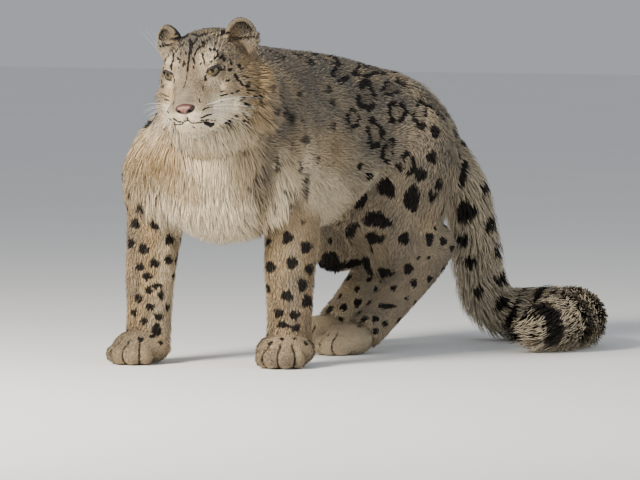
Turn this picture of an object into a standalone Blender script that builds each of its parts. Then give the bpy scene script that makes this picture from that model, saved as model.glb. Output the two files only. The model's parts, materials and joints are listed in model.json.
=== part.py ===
"""A snow leopard, life size and still, that stands with its feet gathered and looks aside.

The animal faces -Y, its left side is +X, and the ground is z = 0. Lengths are metres and
angles are degrees. The body is modelled whole, out to the tips of the coat, and is then
parted by thin cuts into the pieces that a person would name.
"""

import math
import random

import bmesh
import bpy
from mathutils import Euler, Matrix, Quaternion, Vector
from mathutils.bvhtree import BVHTree

# gap between neighbouring pieces, and a length beyond the whole body
GAP = 0.0003
FAR = 3.0

# trunk: the chest runs straight, the back bends in one arc to the root of the tail
CHEST_LENGTH = 0.24
BACK_LENGTH = 0.62
CHEST_HEADING = 17.0
RUMP_HEADING = -31.0
CHEST_FRONT = Vector((0.023, -0.153, 0.0))

# middle of the whole body in plan, which is set over the origin at the end
MIDDLE = Vector((0.0834, 0.2920, 0.0))

# trunk sections: distance from the chest front, top, bottom, half width, depth of the coat
TRUNK = (
    (0.020, 0.436, 0.330, 0.040, 0.024),
    (0.050, 0.481, 0.287, 0.085, 0.024),
    (0.110, 0.541, 0.256, 0.114, 0.021),
    (0.200, 0.566, 0.245, 0.124, 0.019),
    (0.290, 0.568, 0.246, 0.124, 0.018),
    (0.390, 0.561, 0.246, 0.122, 0.018),
    (0.490, 0.554, 0.250, 0.122, 0.018),
    (0.580, 0.543, 0.266, 0.118, 0.018),
    (0.660, 0.526, 0.280, 0.110, 0.018),
    (0.740, 0.508, 0.286, 0.098, 0.018),
    (0.800, 0.472, 0.286, 0.080, 0.018),
    (0.845, 0.424, 0.300, 0.052, 0.018),
)

# neck: points of its centre line with half width, half height and coat
NECK = (
    (Vector((-0.020, 0.040, 0.438)), 0.104, 0.104, 0.021),
    (Vector((0.002, -0.050, 0.463)), 0.095, 0.093, 0.022),
    (Vector((0.022, -0.105, 0.488)), 0.083, 0.080, 0.019),
    (Vector((0.036, -0.145, 0.510)), 0.068, 0.070, 0.012),
)

# head: place of the skull's middle, and its turn to the side, nod and tilt
SKULL = Vector((0.046, -0.154, 0.524))
HEAD_TURN = 15.0
HEAD_NOD = 13.0
HEAD_TILT = -5.5

# skull sections from the nape to the muzzle: place behind the middle, half width, top,
# bottom and the level of the widest place
HEAD = (
    (0.110, 0.034, 0.044, -0.024, 0.010),
    (0.090, 0.062, 0.066, -0.050, 0.006),
    (0.052, 0.080, 0.080, -0.064, -0.004),
    (0.012, 0.085, 0.085, -0.070, -0.012),
    (-0.020, 0.081, 0.082, -0.074, -0.016),
    (-0.042, 0.071, 0.073, -0.076, -0.018),
    (-0.058, 0.060, 0.058, -0.077, -0.022),
    (-0.072, 0.049, 0.041, -0.077, -0.030),
    (-0.086, 0.041, 0.025, -0.076, -0.036),
    (-0.100, 0.038, 0.009, -0.075, -0.038),
    (-0.112, 0.033, -0.004, -0.072, -0.038),
    (-0.121, 0.024, -0.014, -0.064, -0.038),
    (-0.126, 0.012, -0.024, -0.052, -0.038),
)
FACE_COAT = 0.003

# eyes: radius of the ball, and place of the left one's middle in the head
EYE_RADIUS = 0.0155
EYE_PLACE = Vector((0.0385, -0.0575, 0.0285))
LID = 0.0030
EYE_OPENING = Vector((0.0150, 0.0200, 0.0085))
EYE_SEGMENTS = 12
EYE_SLANT = -14.0

# nose leather and nostrils, in the head's frame
NOSE_PLACE = Vector((0.0, -0.1200, -0.0215))
NOSE_SIZE = Vector((0.0200, 0.0110, 0.0125))
NOSTRIL_PLACE = Vector((0.0105, -0.1290, -0.0245))
NOSTRIL_SIZE = Vector((0.0042, 0.0060, 0.0030))

# mouth: points of the left half of its line in the head's frame, and its width
MOUTH = (
    Vector((0.0, -0.1250, -0.0430)),
    Vector((0.0130, -0.1220, -0.0480)),
    Vector((0.0260, -0.1100, -0.0520)),
    Vector((0.0360, -0.0900, -0.0530)),
    Vector((0.0400, -0.0740, -0.0560)),
)
MOUTH_WIDTH = 0.0018

# ears: middle of the left one, outer half sizes, hollow, and its lean and turn
EAR_PLACE = Vector((0.0690, 0.0240, 0.0630))
EAR_SIZE = Vector((0.0300, 0.0170, 0.0380))
EAR_HOLLOW = Vector((0.0245, 0.0150, 0.0320))
EAR_HOLLOW_SHIFT = Vector((0.0, -0.0095, 0.0015))
EAR_LEAN = 6.0
EAR_TURN = 26.0

# legs: joints from the top down with radius and coat at each
FORELEG_LEFT = (
    (Vector((0.056, 0.060, 0.420)), 0.050, 0.018),
    (Vector((0.066, 0.010, 0.350)), 0.058, 0.018),
    (Vector((0.092, 0.040, 0.262)), 0.046, 0.010),
    (Vector((0.104, 0.020, 0.170)), 0.041, 0.007),
    (Vector((0.112, 0.008, 0.085)), 0.036, 0.007),
    (Vector((0.116, 0.000, 0.035)), 0.038, 0.007),
)
FORELEG_RIGHT = (
    (Vector((-0.122, 0.010, 0.420)), 0.050, 0.018),
    (Vector((-0.138, -0.040, 0.350)), 0.058, 0.018),
    (Vector((-0.166, -0.025, 0.262)), 0.046, 0.010),
    (Vector((-0.160, -0.050, 0.170)), 0.041, 0.007),
    (Vector((-0.152, -0.066, 0.085)), 0.036, 0.007),
    (Vector((-0.148, -0.075, 0.035)), 0.038, 0.007),
)
THIGH_LEFT = (
    (Vector((0.005, 0.540, 0.430)), 0.070, 0.016),
    (Vector((0.028, 0.500, 0.350)), 0.092, 0.016),
    (Vector((0.040, 0.444, 0.268)), 0.086, 0.014),
    (Vector((0.042, 0.385, 0.205)), 0.056, 0.012),
)
SHANK_LEFT = (
    (Vector((0.044, 0.378, 0.200)), 0.052, 0.012),
    (Vector((0.069, 0.440, 0.210)), 0.055, 0.010),
    (Vector((0.102, 0.502, 0.206)), 0.031, 0.009),
    (Vector((0.110, 0.518, 0.204)), 0.026, 0.009),
)
FOOT_LEFT = (
    (Vector((0.110, 0.516, 0.216)), 0.026, 0.009),
    (Vector((0.097, 0.480, 0.166)), 0.031, 0.007),
    (Vector((0.066, 0.385, 0.080)), 0.031, 0.007),
    (Vector((0.050, 0.330, 0.036)), 0.032, 0.007),
)
THIGH_RIGHT = (
    (Vector((-0.065, 0.590, 0.430)), 0.070, 0.016),
    (Vector((-0.098, 0.565, 0.350)), 0.092, 0.016),
    (Vector((-0.114, 0.530, 0.270)), 0.084, 0.014),
    (Vector((-0.118, 0.470, 0.210)), 0.056, 0.012),
)
SHANK_RIGHT = (
    (Vector((-0.117, 0.466, 0.204)), 0.052, 0.012),
    (Vector((-0.108, 0.542, 0.208)), 0.053, 0.010),
    (Vector((-0.094, 0.618, 0.206)), 0.034, 0.009),
    (Vector((-0.092, 0.634, 0.204)), 0.027, 0.009),
)
FOOT_RIGHT = (
    (Vector((-0.092, 0.636, 0.210)), 0.027, 0.009),
    (Vector((-0.098, 0.604, 0.160)), 0.032, 0.007),
    (Vector((-0.112, 0.530, 0.078)), 0.031, 0.007),
    (Vector((-0.120, 0.480, 0.036)), 0.032, 0.007),
)

# paws: middle of each, heading of its toes and size; half sizes of the pad and of a toe
PAWS = {
    "forepaw_left": (Vector((0.124, -0.022, 0.0)), 24.0, 1.0),
    "forepaw_right": (Vector((-0.146, -0.098, 0.0)), 8.0, 1.0),
    "hindpaw_left": (Vector((0.040, 0.298, 0.0)), -18.0, 0.94),
    "hindpaw_right": (Vector((-0.124, 0.450, 0.0)), -10.0, 0.94),
}
LEG_SWELL = 0.002
PAW_SIZE = Vector((0.055, 0.053, 0.034))
TOE_SIZE = Vector((0.0185, 0.0280, 0.0215))
TOES = ((-38.0, 0.044), (-13.0, 0.051), (13.0, 0.051), (38.0, 0.044))

# tail: points of its centre line with the radius out to the tips of the fur
TAIL = (
    (Vector((0.012, 0.640, 0.392)), 0.052),
    (Vector((0.028, 0.694, 0.330)), 0.052),
    (Vector((0.034, 0.728, 0.245)), 0.051),
    (Vector((0.038, 0.746, 0.155)), 0.052),
    (Vector((0.053, 0.762, 0.086)), 0.054),
    (Vector((0.100, 0.781, 0.057)), 0.056),
    (Vector((0.165, 0.793, 0.055)), 0.057),
    (Vector((0.229, 0.771, 0.056)), 0.058),
    (Vector((0.281, 0.722, 0.057)), 0.058),
    (Vector((0.314, 0.659, 0.057)), 0.058),
    (Vector((0.326, 0.593, 0.055)), 0.056),
    (Vector((0.315, 0.536, 0.049)), 0.048),
    (Vector((0.293, 0.502, 0.040)), 0.022),
)
TAIL_STEPS = 3
TAIL_CUTS = (6, 15, 24, 30)
TAIL_SIDES = 14

# fineness of the forms before they are thinned, and the triangles kept
BODY_GRAIN = 0.0065
HEAD_GRAIN = 0.0026
PAW_GRAIN = 0.0032
BODY_TRIANGLES = 3250
HEAD_TRIANGLES = 1950
PAW_TRIANGLES = 255

# planes of the cuts between the head, neck and trunk
HEAD_CUT = Vector((0.0, 0.048, 0.0))
THROAT_LEVEL = 0.425
NECK_CUT = Vector((-0.004, -0.022, 0.440))
NECK_CUT_TILT = 38.0
LOIN_CUT = 0.420
FORELEG_BACK = 0.275
THIGH_FRONT = 0.495
FORELEG_EDGE = (0.058, 0.232, 46.0)
HINDLEG_EDGE = (0.040, 0.250, 52.0)

# edges bent more than this stay sharp
SHARP = 42.0

# locks of long hair: length, half width, half thickness, depth of the root, rise of the tip
LOCKS = {
    "throat": (0.052, 0.0085, 0.0028, 0.0070, 0.0080),
    "chest": (0.072, 0.0105, 0.0032, 0.0080, 0.0110),
    "belly": (0.060, 0.0105, 0.0030, 0.0080, 0.0150),
    "ruff": (0.040, 0.0085, 0.0026, 0.0060, 0.0060),
    "thigh": (0.052, 0.0095, 0.0030, 0.0070, 0.0110),
    "elbow": (0.040, 0.0075, 0.0026, 0.0060, 0.0080),
    "tail": (0.062, 0.0105, 0.0032, 0.0080, 0.0075),
}

# shape of a lock: share of the length, share of the width, share of the rise or, below, depth
LOCK_SHAPE = ((0.0, 0.75, -1.0), (0.32, 1.0, 0.35), (0.68, 0.7, 0.8), (1.0, 0.0, 1.0))
LOCK_SWAY = 16.0
LOCK_BEND = 22.0
LOCK_SPREAD = (0.80, 1.22)
LOCK_CLEAR = 0.0006
LOCK_FLOOR = 0.0015
LOCK_TRIES = (1.0, 0.75, 0.55)
ROOT_MARGIN = 0.007
ROOT_DEPTH = 0.0012
SEED = 11

# where locks grow: piece, middle and half sizes of the place, the way they lie, kind, number
ZONES = (
    ("neck", (0.005, -0.130, 0.330), (0.140, 0.140, 0.125), (0.05, -0.25, -1.0), "chest", 36),
    ("neck", (0.030, -0.150, 0.425), (0.100, 0.090, 0.045), (0.05, -0.20, -1.0), "throat", 10),
    ("torso_front", (-0.045, 0.090, 0.235), (0.085, 0.190, 0.040), (0.0, 0.35, -1.0), "belly", 12),
    ("torso_rear", (0.000, 0.400, 0.240), (0.085, 0.160, 0.045), (0.1, 0.35, -1.0), "belly", 9),
    ("foreleg_left", (0.094, 0.085, 0.240), (0.045, 0.040, 0.070), (0.0, 0.25, -1.0), "elbow", 5),
    ("foreleg_right", (-0.160, 0.015, 0.240), (0.045, 0.040, 0.070), (0.0, 0.25, -1.0), "elbow", 5),
    ("hindleg_left", (0.030, 0.575, 0.310), (0.080, 0.050, 0.090), (0.1, 0.25, -1.0), "thigh", 8),
    ("hindleg_right", (-0.110, 0.650, 0.310), (0.080, 0.060, 0.090), (0.0, 0.25, -1.0), "thigh", 8),
    ("torso_rear", (-0.055, 0.680, 0.360), (0.090, 0.050, 0.070), (0.0, 0.25, -1.0), "thigh", 5),
)
RUFF_ZONE = ((0.086, 0.024, -0.036), (0.040, 0.050, 0.062), (0.25, 0.60, -0.80), "ruff", 11)
TAIL_LOCKS = (8, 12, 10, 7)

# finishes: colour, roughness
FINISHES = {
    "coat": ((0.46, 0.41, 0.34), 0.85),
    "pale_coat": ((0.74, 0.66, 0.54), 0.85),
    "leg_coat": ((0.58, 0.46, 0.32), 0.85),
    "eye": ((0.35, 0.36, 0.24), 0.10),
    "nose_leather": ((0.45, 0.22, 0.20), 0.45),
}
FINISH_OF = {
    "eye_left": "eye",
    "eye_right": "eye",
    "nose": "nose_leather",
    "neck": "pale_coat",
    "foreleg_left": "leg_coat",
    "foreleg_right": "leg_coat",
    "forepaw_left": "pale_coat",
    "forepaw_right": "pale_coat",
    "hindpaw_left": "pale_coat",
    "hindpaw_right": "pale_coat",
}

UP = Vector((0.0, 0.0, 1.0))


def spine_at(distance):
    """Point of the spine in plan, and the heading there, by distance from the chest front."""
    front = math.radians(CHEST_HEADING)
    back = Vector((-math.sin(front), math.cos(front), 0.0))
    if distance <= CHEST_LENGTH:
        return CHEST_FRONT + back * distance, front
    turn = math.radians(RUMP_HEADING) - front
    here = front + turn * (distance - CHEST_LENGTH) / BACK_LENGTH
    sweep = Vector((math.cos(here) - math.cos(front), math.sin(here) - math.sin(front), 0.0))
    return CHEST_FRONT + back * CHEST_LENGTH + sweep * (BACK_LENGTH / turn), here


def blend(weights, values):
    """Weighted sum of numbers or of vectors."""
    total = values[0] * weights[0]
    for weight, value in zip(weights[1:], values[1:]):
        total = total + value * weight
    return total


def smooth_between(rows, steps):
    """Rows of numbers and vectors with more rows between them, on one smooth curve."""
    dense = []
    last = len(rows) - 1
    for i in range(last):
        points = (rows[max(i - 1, 0)], rows[i], rows[i + 1], rows[min(i + 2, last)])
        for j in range(steps):
            t = j / steps
            weights = (
                (-t + 2 * t**2 - t**3) / 2,
                (2 - 5 * t**2 + 3 * t**3) / 2,
                (t + 4 * t**2 - 3 * t**3) / 2,
                (-(t**2) + t**3) / 2,
            )
            dense.append(tuple(blend(weights, values) for values in zip(*points)))
    dense.append(tuple(rows[last]))
    return dense


def mesh_object(name, made):
    """A new object in the scene from a bmesh, which is freed."""
    mesh = bpy.data.meshes.new(name)
    made.to_mesh(mesh)
    made.free()
    piece = bpy.data.objects.new(name, mesh)
    bpy.context.scene.collection.objects.link(piece)
    return piece


def loft(name, rings):
    """A closed skin over rings of points, from the first ring to the last."""
    made = bmesh.new()
    rows = [[made.verts.new(point) for point in ring] for ring in rings]
    for near, far in zip(rows, rows[1:]):
        for k in range(len(near)):
            following = (k + 1) % len(near)
            made.faces.new((near[k], near[following], far[following], far[k]))
    made.faces.new(list(reversed(rows[0])))
    made.faces.new(rows[-1])
    bmesh.ops.recalc_face_normals(made, faces=made.faces)
    return mesh_object(name, made)


def oval(centre, across, upward, half_width, half_height, sides=24, power=2.2):
    """A ring of points on a rounded oval."""
    ring = []
    for k in range(sides):
        angle = 2 * math.pi * k / sides
        wide = math.copysign(abs(math.cos(angle)) ** (2 / power), math.cos(angle))
        high = math.copysign(abs(math.sin(angle)) ** (2 / power), math.sin(angle))
        ring.append(centre + across * (wide * half_width) + upward * (high * half_height))
    return ring


def ball(name, centre, size, turn=None, segments=24):
    """An ellipsoid with the given half sizes."""
    made = bmesh.new()
    bmesh.ops.create_uvsphere(made, u_segments=segments, v_segments=segments * 2 // 3, radius=1.0)
    place = Matrix.Translation(centre) @ (turn or Matrix()) @ Matrix.Diagonal((*size, 1.0))
    bmesh.ops.transform(made, matrix=place, verts=made.verts)
    return mesh_object(name, made)


def limb_rings(rows, sides):
    """Round rings along points that each have a radius, turned as little as they can be."""
    rings = []
    across = None
    for i, (centre, radius) in enumerate(rows):
        ahead = rows[min(i + 1, len(rows) - 1)][0] - rows[max(i - 1, 0)][0]
        ahead.normalize()
        if across is None:
            across = ahead.cross(UP if abs(ahead.z) < 0.8 else Vector((0.0, 1.0, 0.0)))
        across = (across - ahead * across.dot(ahead)).normalized()
        rise = across.cross(ahead).normalized()
        rings.append(oval(centre, across, rise, radius, radius, sides, 2.0))
    return rings


def limb(name, rows, swell=0.0):
    """A tapered round limb through joints, out to the tips of its coat."""
    coated = [(centre, radius + coat + swell) for centre, radius, coat in rows]
    return loft(name, limb_rings(smooth_between(coated, 5), 20))


def trunk_form():
    """The trunk from the front of the chest to the rump."""
    rings = []
    for distance, top, bottom, half_width, coat in smooth_between(TRUNK, 4):
        centre, heading = spine_at(distance)
        across = Vector((math.cos(heading), math.sin(heading), 0.0))
        centre.z = (top + bottom) / 2
        half_height = (top - bottom) / 2 + coat
        rings.append(oval(centre, across, UP, half_width + coat, half_height))
    return loft("trunk", rings)


def neck_form():
    """The neck from inside the chest to inside the skull."""
    rings = []
    rows = smooth_between(NECK, 4)
    for i, (centre, half_width, half_height, coat) in enumerate(rows):
        ahead = rows[min(i + 1, len(rows) - 1)][0] - rows[max(i - 1, 0)][0]
        across = ahead.cross(UP).normalized()
        rise = across.cross(ahead).normalized()
        rings.append(oval(centre, across, rise, half_width + coat, half_height + coat))
    return loft("neck_form", rings)


def head_place():
    """Matrix that sets the head's own frame in the body's."""
    nod = Matrix.Rotation(math.radians(HEAD_NOD), 4, "X")
    tilt = Matrix.Rotation(math.radians(HEAD_TILT), 4, "Y")
    turn = Matrix.Rotation(math.radians(HEAD_TURN), 4, "Z")
    return Matrix.Translation(SKULL) @ turn @ nod @ tilt


def turned(side, *angles):
    """Turn of a form on one side of the head, mirrored for the right one."""
    x, y, z = (math.radians(angle) for angle in angles)
    return Euler((x, y * side, z * side)).to_matrix().to_4x4()


def sided(place, side):
    """A place in the head, mirrored for the right side."""
    return Vector((place.x * side, place.y, place.z))


def mirrored(name, centre, size, angles=(0.0, 0.0, 0.0)):
    """A pair of ellipsoids, one on each side of the head."""
    middle = Vector(centre)
    return [ball(name, sided(middle, side), size, turned(side, *angles)) for side in (1, -1)]


def skull_form():
    """The head from the nape to the muzzle, with its widest level set section by section."""
    rings = []
    for place, half_width, top, bottom, widest in smooth_between(HEAD, 4):
        ring = oval(Vector(), Vector((1.0, 0.0, 0.0)), UP, half_width + FACE_COAT, 1.0, 32, 2.15)
        for point in ring:
            reach = (top if point.z > 0 else bottom) - widest
            point.z = widest + abs(point.z) * (reach + math.copysign(FACE_COAT, reach))
            point.y = place
        rings.append(ring)
    return loft("skull", rings)


def head_forms():
    """The skull with its cheeks, brows, muzzle, whisker pads, chin and lids."""
    forms = [skull_form()]
    forms += mirrored("ruff", (0.070, 0.030, -0.034), (0.034, 0.040, 0.062), (0, -10, 0))
    forms += mirrored("cheek", (0.052, -0.006, -0.036), (0.036, 0.050, 0.038), (0, 0, 12))
    forms += mirrored("cheekbone", (0.046, -0.036, -0.006), (0.024, 0.036, 0.022), (0, 0, 24))
    forms += mirrored("brow", (0.034, -0.046, 0.048), (0.026, 0.020, 0.014), (0, 12, 24))
    forms += mirrored("lid", EYE_PLACE, (EYE_RADIUS + LID,) * 3)
    forms += mirrored("whisker_pad", (0.0215, -0.1035, -0.0330), (0.0230, 0.0255, 0.0190))
    tipped = turned(1, 25.0, 0.0, 0.0)
    forms.append(ball("bridge", Vector((0.0, -0.0770, 0.0020)), Vector((0.0240, 0.0520, 0.0210)), tipped))
    forms.append(ball("muzzle", Vector((0.0, -0.0980, -0.0230)), Vector((0.0330, 0.0280, 0.0240))))
    forms.append(ball("chin", Vector((0.0, -0.0960, -0.0630)), Vector((0.0260, 0.0245, 0.0190))))
    for form in forms:
        form.data.transform(head_place())
    chest = trunk_form()
    front = [(Vector((0.0, 0.06, 0.0)), Vector((0.0, -1.0, 0.0))), (Vector((0.0, 0.0, 0.36)), UP)]
    boolean(chest, cell(front), "INTERSECT")
    return forms + [neck_form(), chest]


def paw_forms(name):
    """The pad and toes of a paw, set a little into the ground."""
    centre, heading, scale = PAWS[name]
    turn = Matrix.Rotation(math.radians(heading), 4, "Z")
    size = PAW_SIZE * scale
    pad = centre + Vector((0.0, 0.0, size.z * 0.86))
    forms = [ball(name, pad, size, turn)]
    for angle, reach in TOES:
        spread = turn @ Matrix.Rotation(math.radians(angle), 4, "Z")
        place = centre + (spread @ Vector((0.0, -reach * scale, 0.0)))
        place.z = TOE_SIZE.z * scale * 0.86
        half_spread = turn @ Matrix.Rotation(math.radians(angle * 0.5), 4, "Z")
        forms.append(ball(name, place, TOE_SIZE * scale, half_spread))
    return forms


def apply_modifiers(target):
    """Makes an object's modifiers part of its mesh."""
    graph = bpy.context.evaluated_depsgraph_get()
    mesh = bpy.data.meshes.new_from_object(target.evaluated_get(graph))
    target.modifiers.clear()
    old = target.data
    target.data = mesh
    bpy.data.meshes.remove(old)


def joined(name, forms, grain, triangles, rounds):
    """One closed body over forms that overlap, softened and thinned."""
    bpy.ops.object.select_all(action="DESELECT")
    for form in forms:
        form.select_set(True)
    whole = forms[0]
    bpy.context.view_layer.objects.active = whole
    bpy.ops.object.join()
    whole.name = name
    remesh = whole.modifiers.new("remesh", "REMESH")
    remesh.mode = "VOXEL"
    remesh.voxel_size = grain
    soften = whole.modifiers.new("soften", "SMOOTH")
    soften.factor = 0.5
    soften.iterations = rounds
    apply_modifiers(whole)
    thin = whole.modifiers.new("thin", "DECIMATE")
    thin.ratio = triangles / (2 * len(whole.data.polygons))
    apply_modifiers(whole)
    return whole


def boolean(target, tool, operation):
    """Applies one Boolean with a tool and removes the tool."""
    modifier = target.modifiers.new(operation.lower(), "BOOLEAN")
    modifier.operation = operation
    modifier.object = tool
    apply_modifiers(target)
    bpy.data.objects.remove(tool)


def cell(planes, grown=0.0):
    """A closed block on the inner side of planes, each a point and a normal that faces in."""
    made = bmesh.new()
    bmesh.ops.create_cube(made, size=FAR)
    for point, normal in planes:
        normal = normal.normalized()
        every = made.verts[:] + made.edges[:] + made.faces[:]
        cut = bmesh.ops.bisect_plane(
            made, geom=every, plane_co=point - normal * grown, plane_no=normal, clear_inner=True
        )
        edges = [part for part in cut["geom_cut"] if isinstance(part, bmesh.types.BMEdge)]
        bmesh.ops.contextual_create(made, geom=edges)
    bmesh.ops.recalc_face_normals(made, faces=made.faces)
    return mesh_object("cell", made)


def parted(source, name, planes):
    """Takes the part of a body inside some planes off it, with a gap, as a piece of its own."""
    piece = source.copy()
    piece.data = source.data.copy()
    piece.name = name
    bpy.context.scene.collection.objects.link(piece)
    boolean(piece, cell(planes), "INTERSECT")
    boolean(source, cell(planes, GAP), "DIFFERENCE")
    keep_largest(piece)
    keep_largest(source)
    return piece


def trimmed(target, planes):
    """Keeps the part of a body inside some planes."""
    boolean(target, cell(planes), "INTERSECT")
    keep_largest(target)


def keep_largest(target):
    """Keeps only the largest closed surface of an object."""
    made = bmesh.new()
    made.from_mesh(target.data)
    unseen = set(made.verts)
    parts = []
    while unseen:
        stack = [unseen.pop()]
        part = set(stack)
        while stack:
            for edge in stack.pop().link_edges:
                other = next((vert for vert in edge.verts if vert in unseen), None)
                if other:
                    unseen.remove(other)
                    part.add(other)
                    stack.append(other)
        parts.append(part)
    keep = max(parts, key=spread)
    scraps = [vert for part in parts if part is not keep for vert in part]
    bmesh.ops.delete(made, geom=scraps, context="VERTS")
    made.to_mesh(target.data)
    made.free()


def spread(verts):
    """Diagonal of the box around some vertices."""
    sides = [[vert.co[i] for vert in verts] for i in range(3)]
    return sum((max(side) - min(side)) ** 2 for side in sides)


def flat_across(distance, side):
    """Point of the spine in plan and the level direction out to one side there."""
    centre, heading = spine_at(distance)
    return centre, Vector((math.cos(heading), math.sin(heading), 0.0)) * side


def leg_planes(distance, side, edge, limit, limit_side):
    """Planes round a leg: a slanted one at its top, one along the spine, one across it."""
    centre, out = flat_across(distance, side)
    reach, level, slant = edge
    slant = math.radians(slant)
    top = centre + out * reach + UP * level
    tilt = out * math.sin(slant) - UP * math.cos(slant)
    stop, out_there = flat_across(limit, 1.0)
    ahead = UP.cross(out_there) * limit_side
    return [(top, tilt), (centre + out * 0.012, out), (stop, ahead)]


def make_head(body):
    """The head with its eyes, nose and ears, parted from the neck."""
    place = head_place()
    head = joined("head", head_forms(), HEAD_GRAIN, HEAD_TRIANGLES, 13)
    behind = place @ HEAD_CUT
    ahead = (place.to_3x3() @ Vector((0.0, -1.0, 0.25))).normalized()
    planes = [(behind, ahead), (Vector((0.0, 0.0, THROAT_LEVEL)), UP)]
    trimmed(head, planes)
    boolean(body, cell(planes, GAP), "DIFFERENCE")
    keep_largest(body)
    for name, side in (("eye_left", 1), ("eye_right", -1)):
        middle = place @ sided(EYE_PLACE, side)
        slant = place.to_3x3().to_4x4() @ turned(side, 0.0, EYE_SLANT, 30.0)
        front = place @ (sided(EYE_PLACE, side) + Vector((0.004 * side, -0.013, 0.0)))
        boolean(head, ball("opening", front, EYE_OPENING, slant, 15), "DIFFERENCE")
        socket = Vector((EYE_RADIUS + GAP,) * 3)
        boolean(head, ball("socket", middle, socket, segments=EYE_SEGMENTS), "DIFFERENCE")
        ball(name, middle, Vector((EYE_RADIUS,) * 3), segments=EYE_SEGMENTS)
    make_nose(head, place)
    cut_mouth(head, place)
    for name, side in (("ear_left", 1), ("ear_right", -1)):
        make_ear(name, side, head, place)


def make_nose(head, place):
    """The nose leather with its nostrils, let into the tip of the muzzle."""
    turn = place.to_3x3().to_4x4()
    room = NOSE_SIZE + Vector((GAP, GAP, GAP))
    boolean(head, ball("nose_room", place @ NOSE_PLACE, room, turn, 12), "DIFFERENCE")
    nose = ball("nose", place @ NOSE_PLACE, NOSE_SIZE, turn, 12)
    for side in (1, -1):
        hole = place @ sided(NOSTRIL_PLACE, side)
        boolean(nose, ball("nostril", hole, NOSTRIL_SIZE, turn @ turned(side, 0, 24, 20), 9), "DIFFERENCE")


def cut_mouth(head, place):
    """The groove between the lips, from corner to corner, laid on the muzzle's surface."""
    half = [place @ point for point, in smooth_between([(point,) for point in MOUTH], 2)]
    other = [place @ sided(point, -1) for point, in smooth_between([(point,) for point in MOUTH], 2)]
    line = list(reversed(other[1:])) + half
    rows = []
    for i, point in enumerate(line):
        _, surface, normal, _ = head.closest_point_on_mesh(point)
        end = min(i, len(line) - 1 - i)
        rows.append((surface, MOUTH_WIDTH * min(1.0, 0.55 + 0.2 * end)))
    boolean(head, loft("mouth", limb_rings(rows, 8)), "DIFFERENCE")
    keep_largest(head)


def make_ear(name, side, head, place):
    """A rounded ear, hollow in front, standing on the head."""
    turn = place.to_3x3().to_4x4() @ turned(side, 0.0, EAR_LEAN, EAR_TURN)
    middle = place @ sided(EAR_PLACE, side)
    ear = ball(name, middle, EAR_SIZE, turn, 15)
    hollow = middle + turn.to_3x3() @ EAR_HOLLOW_SHIFT
    boolean(ear, ball("hollow", hollow, EAR_HOLLOW, turn, 12), "DIFFERENCE")
    cutter = head.copy()
    cutter.data = head.data.copy()
    bpy.context.scene.collection.objects.link(cutter)
    swell = cutter.modifiers.new("swell", "DISPLACE")
    swell.mid_level = 0.0
    swell.strength = GAP
    apply_modifiers(cutter)
    boolean(ear, cutter, "DIFFERENCE")
    keep_largest(ear)


def make_paw(name, limb_rows, leg):
    """A paw with its toes, flat underneath, parted from the leg at the wrist."""
    centre, heading, scale = PAWS[name]
    paw = joined(name, paw_forms(name) + [limb("stub", limb_rows[-3:])], PAW_GRAIN, PAW_TRIANGLES, 2)
    wrist = limb_rows[-2][0]
    downward = (limb_rows[-1][0] - limb_rows[-2][0]).normalized()
    trimmed(paw, [(wrist, downward), (Vector((0.0, 0.0, 0.0)), UP)])
    boolean(leg, cell([(wrist, downward)], GAP), "DIFFERENCE")
    keep_largest(leg)


def make_tail():
    """The tail in lengths that meet end to end, flat where it lies on the ground."""
    rows = smooth_between(TAIL, TAIL_STEPS)
    rings = limb_rings(rows, TAIL_SIDES)
    edges = [*TAIL_CUTS, len(rows) - 1]
    for number, (first, last) in enumerate(zip(edges, edges[1:]), 1):
        length = [list(ring) for ring in rings[first : last + 1]]
        ahead = (rows[first + 1][0] - rows[first - 1][0]).normalized()
        length[0] = [point + ahead * GAP for point in length[0]]
        for ring in length:
            for point in ring:
                point.z = max(point.z, 0.0)
        loft(f"tail_{number}", length)


def make_root(body):
    """Cuts the stump of the tail flat on the trunk, where the first length meets it."""
    rows = smooth_between(TAIL, TAIL_STEPS)
    first = TAIL_CUTS[0]
    ahead = (rows[first + 1][0] - rows[first - 1][0]).normalized()
    sides = [(Vector((-0.045, 0.0, 0.0)), Vector((1.0, 0.0, 0.0)))]
    behind = [(Vector((0.0, 0.650, 0.0)), Vector((0.0, 1.0, 0.0)))]
    boolean(body, cell([(rows[first][0], ahead)] + sides + behind), "DIFFERENCE")
    keep_largest(body)


def tree_of(target):
    """Search tree over an object's surface."""
    mesh = target.data
    corners = [vert.co.copy() for vert in mesh.vertices]
    return BVHTree.FromPolygons(corners, [list(face.vertices) for face in mesh.polygons])


def tail_lie(spot):
    """The way the fur of the tail lies at a spot, towards its tip."""
    points = [row[0] for row in TAIL]
    near = min(range(1, len(points) - 1), key=lambda i: (points[i] - spot).length)
    return (points[near + 1] - points[near - 1]).normalized()


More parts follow.
